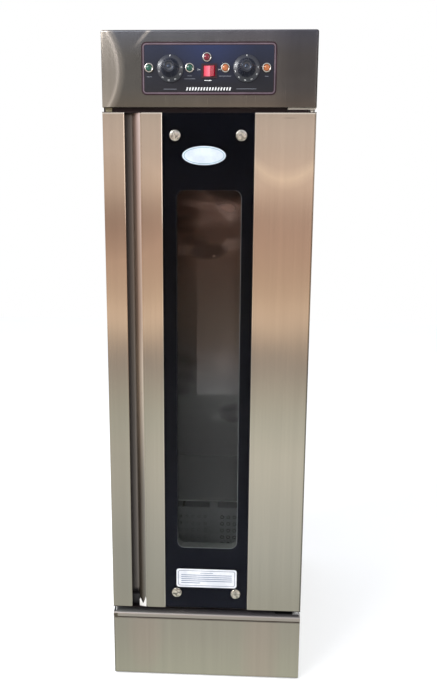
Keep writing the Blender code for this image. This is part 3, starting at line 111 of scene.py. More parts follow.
class Shader:
    """A Principled material, kept under its name, and short calls for the nodes before it.

    Places are in metres on the object. A plain colour has three numbers."""

    def __init__(self, name, **sockets):
        MATERIALS[name] = bpy.data.materials.new(name)
        MATERIALS[name].use_nodes = True
        self.tree = MATERIALS[name].node_tree
        self.surface = self.tree.nodes["Principled BSDF"]
        for socket, value in sockets.items():
            self.surface.inputs[socket.replace("_", " ")].default_value = value
        self.place = self.node("ShaderNodeTexCoord").outputs["Object"]

    def node(self, kind, **settings):
        made = self.tree.nodes.new(kind)
        for name, value in settings.items():
            setattr(made, name, value)
        return made

    def link(self, output, socket):
        self.tree.links.new(output, socket)

    def feed(self, socket, value):
        """Links an output to a socket, or sets a plain value on it."""
        if hasattr(value, "links"):
            self.link(value, socket)
        else:
            socket.default_value = (*value, 1) if isinstance(value, tuple) else value

    def math(self, operation, *values):
        step = self.node("ShaderNodeMath", operation=operation)
        for socket, value in zip(step.inputs, values):
            self.feed(socket, value)
        return step.outputs[0]

    def times(self, first, second):
        return self.math("MULTIPLY", first, second)

    def plus(self, first, second):
        return self.math("ADD", first, second)

    def minus(self, first, second):
        return self.math("SUBTRACT", first, second)

    def apart(self, first, second):
        return self.math("ABSOLUTE", self.minus(first, second))

    def most(self, first, second):
        return self.math("MAXIMUM", first, second)

    def axis(self, letter):
        split = self.node("ShaderNodeSeparateXYZ")
        self.link(self.place, split.inputs[0])
        return split.outputs[letter]

    def noise(self, scale, detail=3.0, rough=0.6):
        """Noise of one scale, or of a scale for each axis, in cells for each metre."""
        stretch = self.node("ShaderNodeVectorMath", operation="MULTIPLY")
        self.link(self.place, stretch.inputs[0])
        stretch.inputs[1].default_value = scale if isinstance(scale, (tuple, list)) else (scale,) * 3
        texture = self.node("ShaderNodeTexNoise")
        texture.inputs["Scale"].default_value = 1
        texture.inputs["Detail"].default_value = detail
        texture.inputs["Roughness"].default_value = rough
        self.link(stretch.outputs[0], texture.inputs["Vector"])
        return texture.outputs["Fac"]

    def range(self, value, low, high, out_low=0.0, out_high=1.0):
        step = self.node("ShaderNodeMapRange")
        for socket, number in zip(step.inputs, (value, low, high, out_low, out_high)):
            self.feed(socket, number)
        return step.outputs[0]

    def vary(self, noise, low=0.0, high=1.0):
        """A number that follows a noise between two values."""
        return self.range(noise, 0.3, 0.7, low, high)

    def ramp(self, value, stops, ease="LINEAR"):
        step = self.node("ShaderNodeValToRGB")
        step.color_ramp.interpolation = ease
        elements = step.color_ramp.elements
        while len(elements) < len(stops):
            elements.new(0.5)
        for element, (position, colour) in zip(elements, stops):
            element.position = position
            element.color = (*colour, 1)
        self.link(value, step.inputs[0])
        return step.outputs[0]

    def mix(self, share, first, second, kind="MIX"):
        step = self.node("ShaderNodeMix", data_type="RGBA", blend_type=kind)
        self.feed(step.inputs[0], share)
        self.feed(step.inputs[6], first)
        self.feed(step.inputs[7], second)
        return step.outputs[2]

    def tint(self, first, second):
        return self.mix(1.0, first, second, "MULTIPLY")

    def colour(self, value):
        self.feed(self.surface.inputs["Base Color"], value)

    def roughness(self, value):
        self.feed(self.surface.inputs["Roughness"], value)

    def bump(self, height, strength, distance, under=None):
        """Raises the surface by a height; under is a bump that this one lies on."""
        step = self.node("ShaderNodeBump")
        step.inputs["Strength"].default_value = strength
        step.inputs["Distance"].default_value = distance
        self.link(height, step.inputs["Height"])
        if under:
            self.link(under, step.inputs["Normal"])
        self.link(step.outputs[0], self.surface.inputs["Normal"])
        return step.outputs[0]


def across_grain(made):
    """The level direction in each face; a level face, which has many, takes the one along X."""
    normal = made.node("ShaderNodeNewGeometry").outputs["Normal"]
    cross = made.node("ShaderNodeVectorMath", operation="CROSS_PRODUCT")
    cross.inputs[0].default_value = (0, 0, 1)
    made.link(normal, cross.inputs[1])
    lean = made.node("ShaderNodeVectorMath", operation="ADD")
    made.link(cross.outputs[0], lean.inputs[0])
    lean.inputs[1].default_value = (0.001, 0, 0)
    whole = made.node("ShaderNodeVectorMath", operation="NORMALIZE")
    made.link(lean.outputs[0], whole.inputs[0])
    return whole.outputs[0]


def brushed_steel(name, tone_of, along, roughness=0.18, streak=0.05, aniso=0.92, wave=0.0011, grain=0.25,
                  metal=1.0):
    """Sheet that was ground along one axis: hairlines, soft wide streaks and a large panel's slow waves."""
    made = Shader(name, Metallic=metal, Roughness=roughness, Anisotropic=aniso)
    fine, hair, wide = [900.0] * 3, [3600.0] * 3, [55.0] * 3
    axis = "XYZ".index(along)
    fine[axis], hair[axis], wide[axis] = 5.0, 22.0, 0.7
    lines = made.noise(fine, 4.0, 0.6)
    hairs = made.noise(hair, 2.0, 0.5)
    bands = made.noise(wide, 3.0, 0.55)
    clouds = made.noise((2.2, 2.2, 3.4))
    both = made.plus(made.times(lines, 0.5), made.times(hairs, 0.5))
    shade = made.range(both, 0.25, 0.75, 1 - streak, 1 + streak)
    broad = made.vary(bands, 0.965, 1.035)
    made.colour(made.tint(tone_of(made), made.times(shade, broad)))
    wiped = made.range(clouds, 0.35, 0.7, -0.02, 0.03)
    made.roughness(made.plus(made.vary(both, roughness - 0.03, roughness + 0.04), wiped))
    waves = made.bump(made.noise((6.0, 6.0, 3.0), 1.0, 0.4), 1.0, wave)
    made.bump(both, grain, 0.00004, waves)
    made.link(across_grain(made), made.surface.inputs["Tangent"])


def by_height(*stops):
    """A tone that changes slowly from the floor to the top of the cabinet."""
    return lambda made: made.ramp(made.range(made.axis("Z"), 0.0, CABINET_TOP), stops, "EASE")


def scaled(made, colour, share):
    """A colour times a number that changes over the surface."""
    return made.tint(colour, made.mix(share, (0, 0, 0), (1, 1, 1)))


def right_bend_shade(made):
    """1 on the face and less on the last millimetres at the right, where the sheet bends away: painted shade on
    the bend.
    """
    bend = made.range(made.axis("X"), 0.2452, 0.2475, 0.0, 0.6)
    front = made.range(made.axis("Y"), FRONT_Y + 0.003, FRONT_Y + 0.004, 1.0, 0.0)
    return made.minus(1.0, made.times(bend, front))


def near(made, x, z, reach_x, reach_z, warp=0.0):
    """1 at a place on the front and 0 beyond its reach, with a soft edge that warp makes uneven."""
    across = made.math("DIVIDE", made.minus(made.axis("X"), x), reach_x)
    up = made.math("DIVIDE", made.minus(made.axis("Z"), z), reach_z)
    far = made.plus(made.times(across, across), made.times(up, up))
    if warp:
        far = made.plus(far, made.range(made.noise((15.0, 15.0, 34.0), 0.0, 0.5), 0.25, 0.75, -warp, warp))
    return made.range(far, 0.0, 1.0, 1.0, 0.0)


def door_tone(made):
    """Warmer with height, a painted reflection; painted highlights along the bent edges, on the door's top and
    in a downward-bowed arc on the right stile; painted shade on the recess lip and the right bend, a painted
    darker reflection on the left stile, and a dark scratch.
    """
    across = made.axis("X")
    up = made.axis("Z")
    # painted reflection: the steel's tone changes with height
    tone = by_height((0.0, (0.56, 0.535, 0.455)), (0.42, (0.55, 0.52, 0.44)), (0.55, (0.60, 0.49, 0.40)))(made)
    # painted highlights: lighter lines along the stiles' bent edges and the door's top
    left_line = made.range(made.apart(across, -0.1102), 0.0008, 0.0016, 0.5, 0.0)
    right_line = made.range(made.apart(across, 0.1090), 0.0008, 0.0018, 0.35, 0.0)
    light = made.most(made.range(up, 1.4645, 1.4668), made.most(left_line, right_line))
    # painted shade on the pull strip's lip, where it turns into the recess
    lip = made.range(made.axis("Y"), FRONT_Y + 0.0008, FRONT_Y + 0.004, 0.0, 0.75)
    inner = made.math("LESS_THAN", made.apart(across, -0.2), 0.012)
    kept = made.minus(1.0, made.times(lip, inner))
    # painted darker reflection on the left stile, at mid height and near its top
    darker_reflection = made.times(made.range(up, 0.90, 0.62), made.range(up, 0.17, 0.36, 0.3, 1.0))
    darker_reflection = made.times(darker_reflection, made.range(across, -0.105, -0.215, 0.08, 0.22))
    darker_reflection = made.plus(darker_reflection, made.times(near(made, -0.25, 1.25, 0.17, 0.13), 0.24))
    kept = made.minus(kept, made.times(darker_reflection, made.math("LESS_THAN", across, -0.1)))
    # painted highlight: a lighter arc bowed downwards on the right stile
    aside = made.minus(across, 0.181)
    sag = made.plus(made.times(made.times(aside, aside), 7.0), 1.3168)
    smile_highlight = made.range(made.apart(up, sag), 0.0, 0.026, 1.0, 0.0)
    smile_highlight = made.times(smile_highlight, made.math("GREATER_THAN", across, 0.1))
    tone_with_reflection = made.mix(made.times(smile_highlight, 0.8), tone, (0.72, 0.60, 0.475))
    scratch = made.times(near(made, 0.188, 1.4566, 0.020, 0.0011), 0.55)
    arc_lit_tone = made.mix(scratch, tone_with_reflection, (0.22, 0.19, 0.17))
    bright = made.mix(light, arc_lit_tone, (0.92, 0.86, 0.78))
    return scaled(made, bright, made.times(kept, right_bend_shade(made)))


def base_tone(made):
    """The kick plate: warmer in two wide zones, a painted reflection, and darker over its left part and along
    its left and bottom folds, painted shade.
    """
    across = made.axis("X")
    tone = by_height((0.0, (0.56, 0.545, 0.46)), (0.1, (0.54, 0.51, 0.44)))(made)
    # painted reflection: two wide warmer zones
    zones = made.most(near(made, -0.165, 0.13, 0.055, 0.14), near(made, 0.145, 0.09, 0.060, 0.30))
    tone = made.mix(made.times(zones, 0.8), tone, (0.58, 0.505, 0.44))
    # painted shade: darker along the left and bottom folds and over the left part
    left = made.range(across, -0.2482, -0.2460, 0.45, 0.0)
    bottom = made.range(made.axis("Z"), 0.0045, 0.0075, 0.35, 0.0)
    kept = made.minus(made.range(across, -0.25, -0.12, 0.93, 1.0), made.most(left, bottom))
    return scaled(made, tone, kept)


def header_tone(made):
    """The header is darker than the door, with painted reflection: lighter at its left end with two bowed arcs
    of painted highlight there, darker towards its right end, bluer at the top and warmer at the bottom, and
    painted shade on its right bend.
    """
    across = made.axis("X")
    height = made.axis("Z")
    # painted highlights: two bowed lighter arcs at the left end, with the end lit beside them
    up = made.math("DIVIDE", made.minus(height, 1.562), 0.075)
    from_arc = made.plus(made.plus(across, 0.2115), made.times(made.times(up, up), 0.020))
    arc = made.range(made.math("ABSOLUTE", from_arc), 0.0, 0.006, 1.0, 0.0)
    falling = made.times(made.minus(height, 1.640), -0.9)
    from_second = made.plus(made.plus(across, 0.1455), falling)
    second = made.range(made.math("ABSOLUTE", from_second), 0.0, 0.008, 0.45, 0.0)
    high = made.times(second, made.range(up, 0.62, 0.97))
    left = made.range(from_arc, -0.004, 0.019, 1.0, 0.0)
    # painted reflection: darker towards the right end, with a random mottle
    ends = made.ramp(made.range(across, -0.25, 0.25), (
        (0.0, (0.19, 0.178, 0.165)), (0.3, (0.20, 0.187, 0.17)), (0.75, (0.205, 0.18, 0.165)),
        (0.9, (0.14, 0.125, 0.12)), (1.0, (0.145, 0.13, 0.125))), "EASE")
    mottled = made.noise((12.0, 12.0, 30.0), 3.0, 0.55)
    tone_with_reflection = scaled(made, ends, made.vary(mottled, 0.90, 1.0))
    # painted reflection: bluer at the top and warmer at the bottom
    cool = made.mix(made.range(up, 0.4, 1.1), tone_with_reflection, made.tint(tone_with_reflection, (0.86, 0.93, 1.12)))
    warm = made.mix(made.range(up, -0.5, -1.05), cool, made.tint(cool, (1.06, 0.98, 0.88)))
    light = made.mix(made.times(left, 0.85), warm, (0.57, 0.51, 0.44))
    arc_lit_tone = made.mix(made.most(made.times(arc, 0.75), high), light, (0.80, 0.72, 0.64))
    face = made.range(made.axis("Y"), FRONT_Y + 0.004, FRONT_Y + 0.010)
    return made.mix(face, scaled(made, arc_lit_tone, right_bend_shade(made)), (0.52, 0.49, 0.44))


def recess_tone(made):
    """The finger recess, all painted light: a floor darkened with painted shade, a wall painted lighter as it
    turns to the front, and painted reflection bands by height.
    """
    across = made.axis("X")
    # painted reflection bands by height
    light = by_height((0.0, (0.21, 0.20, 0.17)), (0.30, (0.30, 0.28, 0.25)), (0.50, (0.76, 0.66, 0.56)),
                      (0.62, (0.66, 0.53, 0.46)), (0.9, (0.74, 0.60, 0.57)))(made)
    # painted highlight: the wall lighter as it turns to the front
    wall = made.ramp(made.range(across, -0.1835, -0.1605), (
        (0.0, (0.95, 0.80, 0.68)), (0.25, (0.62, 0.53, 0.44)), (0.45, (0.46, 0.40, 0.36)),
        (0.72, (0.62, 0.60, 0.58)), (0.9, (0.95, 0.95, 0.95)), (1.0, (1, 1, 1))), "EASE")
    # painted shade: the recess floor darker
    floor = made.ramp(made.range(across, -0.2232, -0.1835), (
        (0.0, (0.20, 0.175, 0.165)), (0.3, (0.16, 0.14, 0.13)), (0.84, (0.19, 0.17, 0.16)),
        (0.91, (0.28, 0.25, 0.23)), (1.0, (0.13, 0.11, 0.09))), "EASE")
    on_wall = made.math("GREATER_THAN", across, -0.1835)
    return made.mix(on_wall, floor, made.tint(light, wall))


def plain_metal(name, colour, roughness, grain):
    made = Shader(name, Metallic=1.0, Roughness=roughness)
    speck = made.noise(grain)
    cloud = made.noise(9.0)
    made.colour(made.mix(made.vary(cloud), shaded(colour, 0.86), colour))
    made.roughness(made.vary(speck, roughness - 0.05, roughness + 0.06))
    made.bump(speck, 0.15, 0.00005)


def turned_metal(name, colour, roughness):
    """A disc that was turned on a lathe: its grooves run round, so that its shine is a bow tie."""
    made = Shader(name, Metallic=1.0, Roughness=roughness, Anisotropic=0.85, Anisotropic_Rotation=0.25)
    around = made.node("ShaderNodeTangent", direction_type="RADIAL", axis="Y")
    made.link(around.outputs[0], made.surface.inputs["Tangent"])
    blotch = made.noise(150.0, 3.0, 0.75)
    fine = made.noise(1800.0)
    made.colour(made.mix(made.range(blotch, 0.40, 0.56), shaded(colour, 0.4), colour))
    made.roughness(made.vary(fine, roughness - 0.06, roughness + 0.08))
    dents = made.bump(blotch, 0.8, 0.0009)
    made.bump(fine, 0.3, 0.00008, dents)


def moulded(name, colour, roughness, grain, strength, spec):
    """Moulded plastic or rubber: a fine pitted skin with slightly worn patches."""
    made = Shader(name, Roughness=roughness, Specular_IOR_Level=spec)
    pits = made.noise(grain)
    cloud = made.noise(28.0)
    worn = tuple(min(1.0, part * 1.35 + 0.004) for part in colour)
    made.colour(made.mix(made.range(cloud, 0.4, 0.75), colour, worn))
    made.roughness(made.vary(cloud, roughness - 0.04, roughness + 0.07))
    made.bump(pits, strength, 0.00012)


def glass():
    made = Shader("glass", Roughness=0.0, IOR=1.08, Transmission_Weight=1.0)
    made.colour(srgb(232, 232, 232))
    haze = made.noise(14.0, 4.0, 0.6)
    made.roughness(made.range(haze, 0.55, 0.8, 0.0, 0.025))


# painted dark reflections on the inner pane
DARK_REFLECTION_SPOTS = (
    # x, z, reach along x, reach along z, depth
    (-0.008, 1.152, 0.046, 0.030, 0.42), (-0.036, 1.176, 0.060, 0.016, 0.32),
    (0.057, 1.298, 0.060, 0.040, 0.6), (-0.078, 1.213, 0.050, 0.040, 0.35),
    (-0.073, 0.840, 0.045, 0.080, 0.25), (0.059, 0.741, 0.034, 0.030, 0.35),
)
# lighter spots of film on the inner pane: painted highlights, one of them a small glint
HIGHLIGHT_SPOTS = (
    # x, z, reach along x, reach along z, weight
    (0.020, 1.246, 0.080, 0.052, 0.10), (0.052, 1.246, 0.036, 0.026, 0.20),
    (0.064, 1.169, 0.038, 0.020, 0.14), (-0.074, 1.152, 0.060, 0.016, 0.07),
    (0.0124, 1.135, 0.0035, 0.0035, 0.5), (0.052, 0.88, 0.040, 0.060, 0.04), (0.024, 0.722, 0.016, 0.012, 0.05),
)
SPOT_WARP = 0.6


def haze_and_reflection_glass():
    """The inner pane: tinted warmer and darker towards the top as a painted reflection, with painted dark
    reflections, streaks of haze, and a lighter patch and spots of film that are painted highlights.
    """
    made = Shader("haze_and_reflection_glass", Roughness=0.0, IOR=1.12, Transmission_Weight=1.0)
    across = made.axis("X")
    up = made.axis("Z")
    # painted reflection: the pane is tinted warmer and darker towards the top
    tint = made.ramp(made.range(up, 0.35, 1.32), (
        (0.0, srgb(218, 222, 222)), (0.42, srgb(222, 222, 222)), (0.62, srgb(206, 186, 172)),
        (1.0, srgb(200, 166, 152))), "EASE")
    shade = 1.0
    for *spot, depth in DARK_REFLECTION_SPOTS:
        shade = made.times(shade, made.minus(1.0, made.times(near(made, *spot, SPOT_WARP), depth)))
    made.colour(scaled(made, tint, shade))
    left = made.range(across, -0.0312, -0.0290)
    right = made.range(across, 0.060, 0.078, 1.0, 0.6)
    foot = made.range(up, 0.776, 0.786)
    head = made.times(made.range(up, 0.90, 1.03, 1.0, 0.35), made.range(up, 1.10, 1.29, 1.0, 0.5))
    # a lighter patch of film: a painted highlight
    highlight_patch = made.times(made.times(left, right), made.times(foot, head))
    streaks = made.range(made.noise((7.0, 7.0, 60.0), 5.0, 0.7), 0.4, 0.62, 0.0, 0.9)
    blots = made.range(made.noise((13.0, 13.0, 8.0), 3.0, 0.5), 0.45, 0.58, 0.0, 0.5)
    upper = made.times(made.times(made.plus(streaks, blots), made.range(up, 0.90, 1.05)), 0.030)
    for *spot, weight in HIGHLIGHT_SPOTS:
        upper = made.plus(upper, made.times(near(made, *spot, SPOT_WARP), weight))
    side = made.range(across, 0.0, 0.078, 0.0, 0.034)
    veil = made.range(up, 0.90, 0.72, 0.008, 0.030)
    # the film is partly haze and partly painted highlight: the patch and the spots are painted highlights
    film = made.plus(made.plus(made.times(highlight_patch, 0.085), upper), made.plus(side, veil))
    made.link(made.minus(1.0, film), made.surface.inputs["Transmission Weight"])


def window_border():
    """Black print on the glass side of the window frame, lighter and greyer towards the bottom and bluer at the
    top as a painted reflection, and bare grey sheet on the jambs behind it, painted near black above the bottom
    jamb as shade.
    """
    made = Shader("window_border", Roughness=0.55, Specular_IOR_Level=0.05)
    speck = made.noise(1500.0)
    # painted reflection: the print lighter and greyer towards the bottom and bluer at the top
    black = made.ramp(made.range(made.axis("Z"), 0.2, 1.47), (
        (0.0, srgb(32, 35, 45)), (0.35, srgb(27, 28, 34)), (0.7, srgb(14, 14, 19)), (1.0, srgb(1, 3, 16))))
    black = scaled(made, black, made.vary(speck, 0.88, 1.0))
    grey = made.mix(made.vary(speck), srgb(104, 108, 106), srgb(120, 123, 120))
    behind = made.range(made.axis("Y"), at(6.2), at(6.6))
    # painted shade: the jambs above the bottom one are painted near black
    low = made.range(made.axis("Z"), 0.46, 0.41, 0.12, 1.0)
    made.colour(made.mix(made.times(behind, low), black, grey))
    made.bump(speck, 0.1, 0.00006)


def cover_sheet():
    """The heater cover: pale rolled sheet, duller than the walls; its top behind the front fold is painted
    darker as shade.
    """
    made = Shader("cover_sheet", Metallic=0.35, Roughness=0.5)
    clouds = made.noise((9.0, 9.0, 14.0), 4.0, 0.6)
    fine = made.noise((60.0, 60.0, 1400.0))
    pale = made.mix(made.vary(clouds), (0.50, 0.52, 0.50), (0.66, 0.68, 0.66))
    # painted shade on the lid behind the front fold
    lid = made.math("GREATER_THAN", made.axis("Z"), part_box("heater_cover")[1].z - 0.0009)
    behind = made.times(lid, made.math("GREATER_THAN", made.axis("Y"), at(271.5)))
    made.colour(scaled(made, pale, made.range(behind, 0.0, 1.0, 1.0, 0.40)))
    made.roughness(made.vary(fine, 0.44, 0.56))
    made.bump(fine, 0.2, 0.00006)


def seal_strip():
    """The grey seal on the ledge: painted darker towards the hinge side, as shade under the door."""
    made = Shader("seal_strip", Roughness=0.7, Specular_IOR_Level=0.2)
    speck = made.noise(1500.0)
    tone = made.ramp(made.range(made.axis("X"), -0.25, 0.25), (
        (0.0, srgb(112, 112, 110)), (0.3, srgb(98, 94, 92)), (0.6, srgb(86, 82, 86)),
        (1.0, srgb(88, 84, 84))), "EASE")
    made.colour(scaled(made, tone, made.vary(speck, 0.9, 1.0)))
    made.bump(speck, 0.2, 0.00012)


def bead_steel():
    """The window's edge bead: painted dark at the left and top as shade, and painted bright along the right and
    the bottom as highlight.
    """
    made = Shader("bead_steel", Metallic=0.6, Roughness=0.4)
    right = made.range(made.axis("X"), 0.06, 0.078)
    low = made.range(made.axis("Z"), 0.40, 0.374)
    speck = made.noise(900.0, 2.0, 0.5)
    lit = made.times(made.most(right, low), made.vary(speck, 0.85, 1.0))
    made.colour(made.mix(lit, (0.03, 0.03, 0.035), (0.34, 0.36, 0.36)))


def hinge_steel():
    """The lower hinge: its plate is painted near black as shade, and its end beside the door is painted bright
    as a glint.
    """
    made = Shader("hinge_steel", Metallic=0.6, Roughness=0.35)
    speck = made.noise(900.0, 2.0, 0.5)
    end = made.times(made.range(made.axis("X"), 0.2285, 0.2320), made.range(speck, 0.3, 0.6, 0.55, 1.0))
    made.colour(made.mix(end, (0.03, 0.027, 0.027), (0.86, 0.85, 0.83)))
    made.bump(speck, 0.3, 0.0001)


def lens(name, deep, bright):
    """A faceted coloured lens whose noise cells mix its deep and its bright colour."""
    made = Shader(name, Roughness=0.12, Coat_Weight=0.6, Coat_Roughness=0.05)
    cells = made.noise(900.0, 1.0, 0.4)
    made.colour(made.mix(made.range(cells, 0.35, 0.65), deep, bright))
    made.bump(cells, 0.5, 0.0003)


def foam():
    colour = srgb(226, 208, 158)
    made = Shader("foam", Roughness=0.9)
    made.colour(made.mix(made.vary(made.noise(12.0)), shaded(colour, 0.7), colour))
    made.bump(made.noise(420.0, 3.0, 0.7), 0.6, 0.0008)


def panel_film():
    """The panel's dark film, bluer towards its middle and its top."""
    made = Shader("panel_film", Roughness=0.34, Specular_IOR_Level=0.5)
    height = made.range(made.axis("Z"), 1.508, 1.622)
    tone = made.ramp(height, ((0.0, srgb(19, 18, 25)), (0.45, srgb(19, 23, 38)), (1.0, srgb(26, 34, 58))))
    peel = made.noise(700.0, 2.0, 0.5)
    middle = made.range(made.math("ABSOLUTE", made.axis("X")), 0.02, 0.11, 0.55, 0.0)
    made.colour(made.mix(made.times(middle, made.range(height, 0.2, 0.9)), tone, srgb(34, 48, 92)))
    made.roughness(made.vary(peel, 0.30, 0.38))
    made.bump(peel, 0.2, 0.0001)


def lit_rocker():
    """The rocker's red plastic with its lamp on, and painted light on its two halves: a painted highlight on
    its lit face and painted shade on its sloping half.
    """
    made = Shader("lit_rocker", Roughness=0.25, Coat_Weight=0.4, Coat_Roughness=0.08)
    across = made.range(made.axis("X"), -0.012, 0.012)
    glow = made.ramp(across, ((0.0, srgb(186, 46, 66)), (0.5, srgb(232, 104, 122)), (0.66, srgb(134, 16, 38))))
    made.colour(glow)
    made.feed(made.surface.inputs["Emission Color"], glow)
    made.surface.inputs["Emission Strength"].default_value = 0.45
    made.bump(made.noise(500.0, 2.0, 0.5), 0.15, 0.0001)


METALS = {
    # screen colour, roughness, grain in cells for each metre
    # The first finish is painted shade: a dark finish for the door's top and bottom plates and the strips in
    # the header's gap.
    "gap_shadow_dark": ((60, 52, 54), 0.5, 900.0),
    "seam_brown": ((138, 120, 108), 0.5, 900.0),
    "olive_steel": ((150, 144, 122), 0.45, 900.0),
    "ring_steel": ((84, 92, 108), 0.34, 1500.0),
    # pale_steel is painted near white, a painted highlight on the top hinge bracket that sits under the header.
    "pale_steel": ((246, 244, 238), 0.5, 1500.0),
    "plain_steel": ((168, 166, 160), 0.42, 900.0),
    "bright_steel": ((222, 220, 214), 0.16, 1500.0),
    "element_steel": ((120, 108, 96), 0.4, 900.0),
    "fan_alloy": ((190, 192, 194), 0.35, 900.0),
}
MOULDINGS = {
    # screen colour, roughness, grain in cells for each metre, strength of the grain, specular level
    # bright_edge is white for a painted highlight on the heater cover's fold
    "bright_edge": ((214, 216, 212), 0.45, 900.0, 0.1, 0.5),
    "black_plastic": ((26, 26, 29), 0.4, 2200.0, 0.25, 0.5),
    "knob_plastic": ((22, 27, 42), 0.38, 1800.0, 0.15, 1.0),
    "switch_plastic": ((46, 16, 26), 0.4, 2200.0, 0.25, 0.5),
    "rubber": ((24, 24, 24), 0.72, 1200.0, 0.4, 0.5),
    "border_dark": ((46, 27, 33), 0.5, 1500.0, 0.05, 0.2),
    "border_light": ((104, 90, 98), 0.5, 1500.0, 0.05, 0.2),
    "print_white": ((232, 232, 230), 0.5, 1500.0, 0.05, 0.5),
    "print_dim": ((120, 122, 130), 0.5, 1500.0, 0.05, 0.2),
    "print_blue": ((40, 52, 96), 0.45, 1500.0, 0.05, 0.5),
    "plate_white": ((198, 206, 216), 0.4, 900.0, 0.08, 0.2),
    "plate_teal": ((92, 140, 142), 0.45, 900.0, 0.08, 0.2),
    "card_white": ((226, 228, 232), 0.5, 900.0, 0.08, 0.2),
    "card_ink": ((66, 88, 130), 0.5, 1500.0, 0.05, 0.2),
    # the last finish is white for painted highlights in the recess and at the corner
    "highlight_white": ((236, 232, 226), 0.5, 900.0, 0.1, 0.3),
}
LENSES = {
    # screen colours of its deep and its bright cells
    "green_lens": ((4, 54, 44), (14, 98, 78)),
    "red_lens": ((88, 4, 26), (136, 16, 44)),
    "orange_lens": ((160, 80, 36), (208, 124, 70)),
}


def make_materials():
    inner_tone = by_height((0.24, (0.62, 0.62, 0.61)), (0.36, (0.44, 0.435, 0.42)), (1.0, (0.44, 0.41, 0.38)))
    nosing_tone = by_height((0.0, (0.49, 0.455, 0.42)), (1.0, (1, 1, 1)))
    side_tone = by_height((0.0, (0.55, 0.53, 0.47)), (1.0, (1, 1, 1)))
    brushed_steel("door_steel", door_tone, "Z")
    brushed_steel("recess_steel", recess_tone, "Z", roughness=0.30, streak=0.03, aniso=0.6, wave=0.0002,
                  metal=0.75)
    brushed_steel("header_steel", header_tone, "Z", roughness=0.22, streak=0.04, wave=0.0006, grain=0.04)
    brushed_steel("base_steel", base_tone, "Z", streak=0.02, grain=0.12)
    brushed_steel("nosing_steel", nosing_tone, "X", roughness=0.34, aniso=0.2)
    brushed_steel("side_steel", side_tone, "Z", roughness=0.30)
    brushed_steel("liner_steel", inner_tone, "X", roughness=0.36, aniso=0.4)
    turned_metal("cap_steel", srgb(226, 222, 212), 0.2)
    turned_metal("worn_steel", srgb(150, 142, 128), 0.4)
    for make in (hinge_steel, bead_steel, cover_sheet, window_border, seal_strip, haze_and_reflection_glass, glass, foam,
                 panel_film, lit_rocker):
        make()
    for name, (colour, roughness, grain) in METALS.items():
        plain_metal(name, srgb(*colour), roughness, grain)
    for name, (colour, *rest) in MOULDINGS.items():
        moulded(name, srgb(*colour), *rest)
    for name, (deep, bright) in LENSES.items():
        lens(name, srgb(*deep), srgb(*bright))


CARRIED = {
    "door_steel": "pull_strip left_stile right_stile",
    "base_steel": "base_shell",
    # painted shade: the door's top and bottom plates are dark where they sit in the gaps
    "gap_shadow_dark": "door_top_plate door_bottom_plate",
    "nosing_steel": "base_nosing",
    "recess_steel": "handle_channel",
    "header_steel": "header_shell",
    "side_steel": "left_side_panel right_side_panel rear_panel",
    "liner_steel": "chamber_left_wall chamber_right_wall chamber_back_wall chamber_ceiling chamber_floor "
    "front_frame door_liner left_tray_rack right_tray_rack water_pan",
    "cover_sheet": "heater_cover",
    "plain_steel": "header_floor base_deck base_floor",
    "pale_steel": "top_hinge_bracket",
    "hinge_steel": "bottom_hinge_bracket",
    "cap_steel": "top_left_glass_cap top_right_glass_cap bottom_left_glass_cap bottom_right_glass_cap",
    "element_steel": "air_heater water_heater",
    "fan_alloy": "fan_blades",
    "window_border": "window_frame",
    "switch_plastic": "switch_frame",
    "black_plastic": "fan_motor thermostat_body humidistat_body cable_gland handle_end_cap",
    "rubber": "front_left_foot front_right_foot rear_left_foot rear_right_foot door_gasket",
    "glass": "door_glass",
    "haze_and_reflection_glass": "inner_glass",
    "foam": "body_insulation door_insulation",
    "panel_film": "control_overlay",
    "lit_rocker": "power_rocker",
}


def dress_nodes():
    make_materials()
    for finish, names in CARRIED.items():
        for name in names.split():
            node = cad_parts[name]
            node.data.materials.clear()
            node.data.materials.append(MATERIALS[finish])


# Shapes

def add(mesh, finish, body="root", place=None):
    """A piece that has its mesh's name and rides on a body."""
    piece = show(bpy.data.objects.new(mesh.name, mesh))
    if place is not None:
        mesh.transform(place)
    mesh.materials.clear()
    mesh.materials.append(MATERIALS[finish])
    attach(piece, body)
    return piece


def mesh_from(name, build):
    mesh = bpy.data.meshes.new(name)
    bm = bmesh.new()
    build(bm)
    bmesh.ops.recalc_face_normals(bm, faces=bm.faces)
    bm.to_mesh(mesh)
    bm.free()
    return soften(mesh)


def ring_mesh(name, profile, steps, wave=None):
    """A turned mesh about Z, from a profile of (radius, height); wave(angle, radius, height) moves a radius."""
    def build(bm):
        rows = []
        for step in range(steps):
            angle = 2 * math.pi * step / steps
            row = []
            for radius, height in profile:
                reach = wave(angle, radius, height) if wave else radius
                row.append(bm.verts.new((reach * math.cos(angle), reach * math.sin(angle), height)))
            rows.append(row)
        for step in range(steps):
            one, two = rows[step], rows[(step + 1) % steps]
            for i in range(len(profile) - 1):
                bm.faces.new((one[i], two[i], two[i + 1], one[i + 1]))
        bmesh.ops.remove_doubles(bm, verts=bm.verts, dist=0.000001)
    return mesh_from(name, build)


def ellipse(half_width, half_height, steps=48):
    turns = [2 * math.pi * i / steps for i in range(steps)]
    return [(half_width * math.cos(turn), half_height * math.sin(turn)) for turn in turns]


def rounded(left, bottom, right, top, corner, steps=8):
    """The points of a rectangle with round corners."""
    points = []
    centres = ((right - corner, top - corner), (left + corner, top - corner))
    centres += ((left + corner, bottom + corner), (right - corner, bottom + corner))
    for quarter, (across, up) in enumerate(centres):
        for step in range(steps + 1):
            angle = (quarter + step / steps) * 90 * DEGREE
            points.append((across + corner * math.cos(angle), up + corner * math.sin(angle)))
    return points


